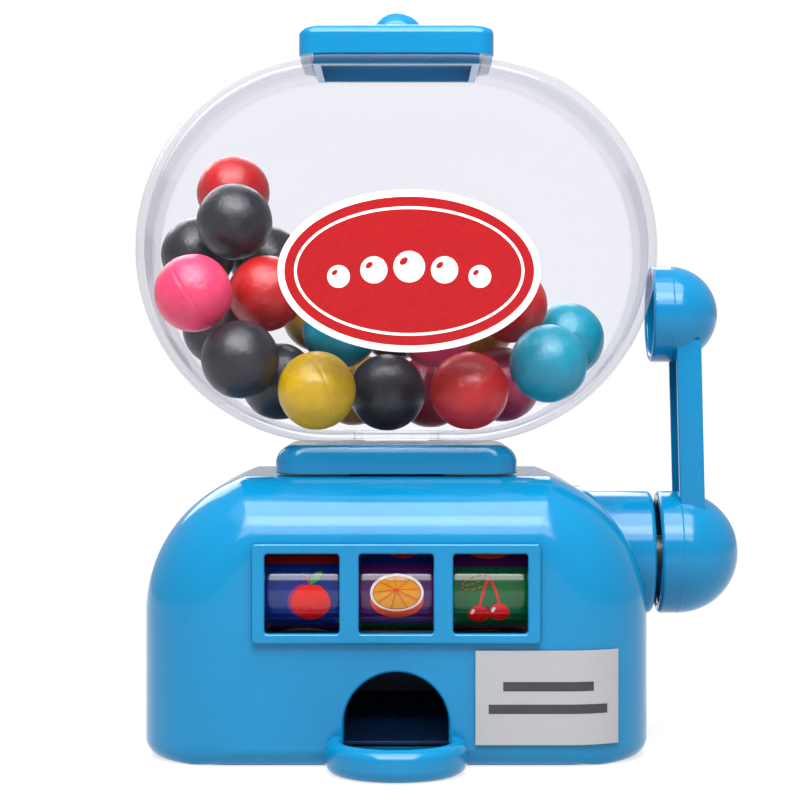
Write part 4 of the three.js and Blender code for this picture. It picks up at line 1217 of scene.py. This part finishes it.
def make_badge():
    middle_x, middle_z = (badge_low.x + badge_high.x) / 2, (badge_low.z + badge_high.z) / 2
    half_u, half_v = (badge_high.x - badge_low.x) / 2, (badge_high.z - badge_low.z) / 2

    def outline(place, inset):
        return arc(middle_x, middle_z, half_u - inset, half_v - inset, 0, 2 * math.pi, 128)[:-1]

    stations = rounded_ends(badge_low.y, badge_high.y, 0.12 * MM, 0, 5)
    body = loft("oval_badge", "y", stations, outline)
    body.data.materials.append(BADGE_WHITE)
    u, v = middle_x / MM, middle_z / MM
    rim = BADGE_RIM / MM
    face = badge_low.y
    field = ellipse(u, v, half_u / MM - rim, half_v / MM - rim, steps=128)
    pieces = [body, flat_print("field", field, face + INK, face - INK, BADGE_RED)]
    ring = ellipse(u, v, half_u / MM - 2.4 * rim, half_v / MM - 2.4 * rim, steps=128)
    pieces.append(flat_print("ring", ring, face, face - 1.5 * INK, BADGE_WHITE))
    inner = ellipse(u, v, half_u / MM - 2.8 * rim, half_v / MM - 2.8 * rim, steps=128)
    pieces.append(flat_print("inner", inner, face, face - 2 * INK, BADGE_RED))
    for k in range(-2, 3):
        size = DOT_RADIUS - DOT_TAPER * abs(k)
        spot = (u + DOT_PITCH * k, v + 1.1 * math.cos(k) - 0.4)
        dot = ellipse(*spot, size, size, steps=64)
        pieces.append(flat_print("dot", dot, face, face - 3 * INK, BADGE_WHITE))
        gloss = ellipse(spot[0] - 0.35 * size, spot[1] + 0.35 * size, 0.3 * size, 0.2 * size, 40)
        pieces.append(flat_print("gloss", gloss, face, face - 4 * INK, BADGE_RED))
    badge = join("oval_badge_front", pieces)
    shade(badge, 35)
    return badge


finish_piece(make_badge(), None, "root", "badge_print", "bowl_badge")


def label_strip(name, start, end, low, high, inside, outside):
    """Part of the label between two lengths along the housing's front and corner."""
    turn_x = housing_high.x - CORNER
    turn_y = front_y + CORNER
    flat = turn_x - label_low.x

    def spot(length, off):
        if length <= flat:
            return (label_low.x + length, front_y - off)
        angle = -QUARTER + (length - flat) / CORNER
        radius = CORNER + off
        return (turn_x + radius * math.cos(angle), turn_y + radius * math.sin(angle))

    steps = 40
    lengths = [start + (end - start) * i / steps for i in range(steps + 1)]
    ring = [spot(s, outside) for s in lengths] + [spot(s, inside) for s in lengths[::-1]]
    return loft(name, "z", [(low, 0), (high, 0)], lambda place, inset: ring)


def make_label():
    length = housing_high.x - CORNER - label_low.x + CORNER * LABEL_WRAP
    outside = front_y - label_low.y
    sheet = label_strip("label", 0, length, label_low.z, label_high.z, GAP, outside)
    sheet.data.materials.append(PAPER)
    pieces = [sheet]
    middle_z = (label_low.z + label_high.z) / 2
    for k, share in enumerate(BAR_REACHES):
        low = middle_z - BAR_HEIGHT / 2 + (0.5 - k) * BAR_PITCH
        reach = length * share
        bar = label_strip("bar", length / 2 - reach, length / 2 + reach, low, low + BAR_HEIGHT,
                          outside - INK, outside + INK / 2)
        bar.data.materials.append(LABEL_INK)
        pieces.append(bar)
    label = join("label_sheet", pieces)
    shade(label, 35)
    return label


finish_piece(make_label(), None, "root", "label_paper", "paper_label")


# ---- working parts inside
def refined(node):
    """A copy of a CAD node with joined corners, rounded edges and smooth shading."""
    piece = NODES[node].copy()
    piece.data = NODES[node].data.copy()
    piece.parent = None
    piece.matrix_world = Matrix.Identity(4)
    piece.name = node + "_fine"
    bpy.context.scene.collection.objects.link(piece)
    for key in list(piece.keys()):
        del piece[key]
    work = bmesh.new()
    work.from_mesh(piece.data)
    bmesh.ops.remove_doubles(work, verts=work.verts, dist=1e-6)
    bmesh.ops.dissolve_limit(work, angle_limit=math.radians(0.5), verts=work.verts, edges=work.edges)
    bmesh.ops.recalc_face_normals(work, faces=work.faces)
    work.to_mesh(piece.data)
    work.free()
    return soften(piece, 0.12 * MM, 2, 38)


MOULDED_INSIDE = {
    "root": ("barrel_bearing", "reel_bracket_left", "reel_bracket_right"),
    "lever": ("metering_barrel", "drive_gear"),
    "idler": ("idler_gear",),
    "reels": ("reel_pinion",),
}
BLUE_INSIDE = {"root": ("ball_chute", "barrel_shroud")}
STEEL_INSIDE = {"root": ("idler_pin",), "lever": ("lever_shaft",), "reels": ("reel_shaft",)}
INSIDE = (
    # The blue parts inside take a darker blue that paints the shade inside the housing onto them.
    (SHADE_DARKENED_BLUE, "blue_plastic", BLUE_INSIDE),
    (INNER, "white_plastic", MOULDED_INSIDE),
    (STEEL, "steel", STEEL_INSIDE),
)
for material, slot, groups in INSIDE:
    for body, names in groups.items():
        for node in names:
            finish_piece(refined(node), material, body, slot, node)


def make_throat():
    high, low = throat_high.z, throat_low.z
    profile = [
        (THROAT_RADIUS, low),
        (THROAT_OUTSIDE, low),
        (THROAT_OUTSIDE, high - FLANGE),
        (FLANGE_RADIUS, high - FLANGE),
        (FLANGE_RADIUS, high),
        (THROAT_RADIUS + 0.3 * MM, high),
        (THROAT_RADIUS, high - 0.3 * MM),
        (THROAT_RADIUS, low),
    ]
    return turned("throat_tube", "z", profile, (0, lever_axis.y, 0), 96)


finish_piece(make_throat(), INNER, "root", "white_plastic", "throat_funnel")


def make_spring():
    """A closely wound helix of round wire about the lever's shaft."""
    low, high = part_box("return_spring")
    wire = 0.45 * MM
    coil = (high.z - low.z) / 2 - wire
    turns, steps, sides = 5, 48, 12
    points, faces = [], []
    for i in range(turns * steps + 1):
        share = i / (turns * steps)
        turn = 2 * math.pi * turns * share
        x = low.x + wire + (high.x - low.x - 2 * wire) * share
        out = Vector((0, math.cos(turn), math.sin(turn)))
        middle = Vector((x, lever_axis.y, lever_axis.z)) + out * coil
        for k in range(sides):
            around = 2 * math.pi * k / sides
            points.append(middle + wire * (out * math.cos(around) + Vector((math.sin(around), 0, 0))))
    for i in range(turns * steps):
        for k in range(sides):
            a, b = i * sides + k, i * sides + (k + 1) % sides
            faces.append((a, b, b + sides, a + sides))
    faces.append(tuple(range(sides)))
    faces.append(tuple(turns * steps * sides + k for k in range(sides)))
    return mesh_piece("coil_spring", points, faces, 50)


finish_piece(make_spring(), STEEL, "root", "steel", "return_spring")


def make_screw(name, seat, way):
    """A pan-head screw with a crossed recess; way is the direction of its head."""
    length, tip, head, edge = 9 * MM, 1.2 * MM, 1 * MM, 0.3 * MM
    root, groove, shank = 0.82 * SCREW_RADIUS, 0.3 * MM, 0.8 * MM
    profile = [(0, -length), (0.5 * SCREW_RADIUS, -length), (SCREW_RADIUS, tip - length)]
    turns = 12
    for k in range(turns):
        along = tip - length + k * (length - 2 * tip) / turns
        profile += [(SCREW_RADIUS, along), (root, along + groove)]
    profile += [(SCREW_RADIUS, -shank), (SCREW_RADIUS, 0), (SCREW_HEAD, 0)]
    profile += [(SCREW_HEAD, head - 1.3 * edge), (SCREW_HEAD - edge, head - 0.3 * edge)]
    profile += [(0.5 * SCREW_HEAD, head), (0, head)]
    screw = turned(name, "z", profile, (0, 0, 0), 48)
    arm, half = 0.55 * SCREW_HEAD, 0.28 * MM
    for u, v in ((arm, half), (half, arm)):
        carve(screw, [block("slot", (-u, -v, 0.45 * head), (u, v, 2 * head))])
    screw.data.transform(Matrix.Translation(seat) @ way.to_track_quat("Z", "Y").to_matrix().to_4x4())
    shade(screw, 30)
    return screw


for number, (x, z) in enumerate(back_screw_places, start=1):
    seat = Vector((x, back_y - SCREW_RECESS + GAP, z))
    screw = make_screw(f"rear_screw_{number}", seat, Vector((0, 1, 0)))
    finish_piece(screw, STEEL, "root", "steel", f"back_screw_{number}")
for number, (x, y) in enumerate(base_screw_places, start=1):
    seat = Vector((x, y, SCREW_RECESS - GAP))
    screw = make_screw(f"under_screw_{number}", seat, Vector((0, 0, -1)))
    finish_piece(screw, STEEL, "root", "steel", f"base_screw_{number}")


# ---- studio
FLOOR_HALF = 4.0
FLOOR_DROP = 0.05 * MM
GLOW_NEAR = (0.15, 0.74)  # distance from the middle, and the floor's own glow there
GLOW_FAR = (0.9, 0.9)
SUN_STRENGTH = 1.2
SUN_SPREAD = 60
WORLD_IN_GLOSS = 0.6
WORLD_ON_MATT = 0.3


def make_floor():
    """A pale floor that glows a little, more so away from the object."""
    corners = [(-1, -1), (1, -1), (1, 1), (-1, 1)]
    points = [(x * FLOOR_HALF, y * FLOOR_HALF, -FLOOR_DROP) for x, y in corners]
    floor = mesh_piece("studio_floor", points, [(0, 1, 2, 3)])
    look = Look("studio_floor")
    tone = look.ramp(look.noise(0.3, 2.0, 0.5), 0.3, 0.7, 0, 1)
    look.colour(look.blend(tone, srgb(120, 120, 122), srgb(126, 126, 128)))
    look.set(Roughness=0.9, Emission_Color=(1, 1, 1, 1))
    reach = look.nodes.new("ShaderNodeVectorMath")
    reach.operation = "LENGTH"
    look.links.new(look.place, reach.inputs[0])
    glow = look.ramp(reach.outputs["Value"], GLOW_NEAR[0], GLOW_FAR[0], GLOW_NEAR[1], GLOW_FAR[1])
    look.links.new(glow, look.shader.inputs["Emission Strength"])
    floor.data.materials.append(look.material)


def soft_light(name, place, aim, width, height, power, diffuse=True):
    data = bpy.data.lights.new(name, "AREA")
    data.shape = "RECTANGLE"
    data.size = width
    data.size_y = height
    data.energy = power
    light = placed(name, data)
    light.location = place
    light.rotation_euler = (Vector(aim) - Vector(place)).to_track_quat("-Z", "Y").to_euler()
    light.visible_diffuse = diffuse
    light.visible_camera = False


def white_world():
    """White to the camera, and gentler in reflections and as a light on matt surfaces."""
    world = bpy.data.worlds.new("studio")
    world.use_nodes = True
    nodes, links = world.node_tree.nodes, world.node_tree.links
    rays = nodes.new("ShaderNodeLightPath")
    glossy = nodes.new("ShaderNodeMapRange")
    glossy.inputs["To Min"].default_value = 1.0
    glossy.inputs["To Max"].default_value = WORLD_IN_GLOSS
    links.new(rays.outputs["Is Glossy Ray"], glossy.inputs["Value"])
    matt = nodes.new("ShaderNodeMapRange")
    links.new(glossy.outputs["Result"], matt.inputs["To Min"])
    matt.inputs["To Max"].default_value = WORLD_ON_MATT
    links.new(rays.outputs["Is Diffuse Ray"], matt.inputs["Value"])
    links.new(matt.outputs["Result"], nodes["Background"].inputs["Strength"])
    nodes["Background"].inputs["Color"].default_value = (1, 1, 1, 1)
    bpy.context.scene.world = world


def overhead_sun():
    data = bpy.data.lights.new("overhead", "SUN")
    data.energy = SUN_STRENGTH
    data.angle = math.radians(SUN_SPREAD)
    sun = placed("overhead", data)
    sun.rotation_euler = (math.radians(18), math.radians(-8), 0)


make_floor()
white_world()
overhead_sun()
middle = Vector((0, 0, 0.06))
soft_light("front_softbox", (0.0, -0.55, 0.50), middle, 0.75, 0.36, 6, diffuse=False)
soft_light("overhead_softbox", (0.0, -0.22, 0.42), middle, 0.5, 0.35, 4.5)
soft_light("rear_softbox", (-0.15, 0.55, 0.42), middle, 0.6, 0.35, 3.0)

CAMERA = Vector((0.6, -382.5, 63.0)) * MM
AIM = Vector((0.6, 0.0, 58.24)) * MM
LENS = 101.25
SENSOR = 36
camera_data = bpy.data.cameras.new("camera")
camera_data.lens = LENS
camera_data.sensor_width = SENSOR
camera_data.clip_start = 0.01
camera = placed("camera", camera_data)
camera.location = CAMERA
camera.rotation_euler = (AIM - CAMERA).to_track_quat("-Z", "Y").to_euler()
bpy.context.scene.camera = camera
bpy.context.scene.view_settings.view_transform = "Standard"
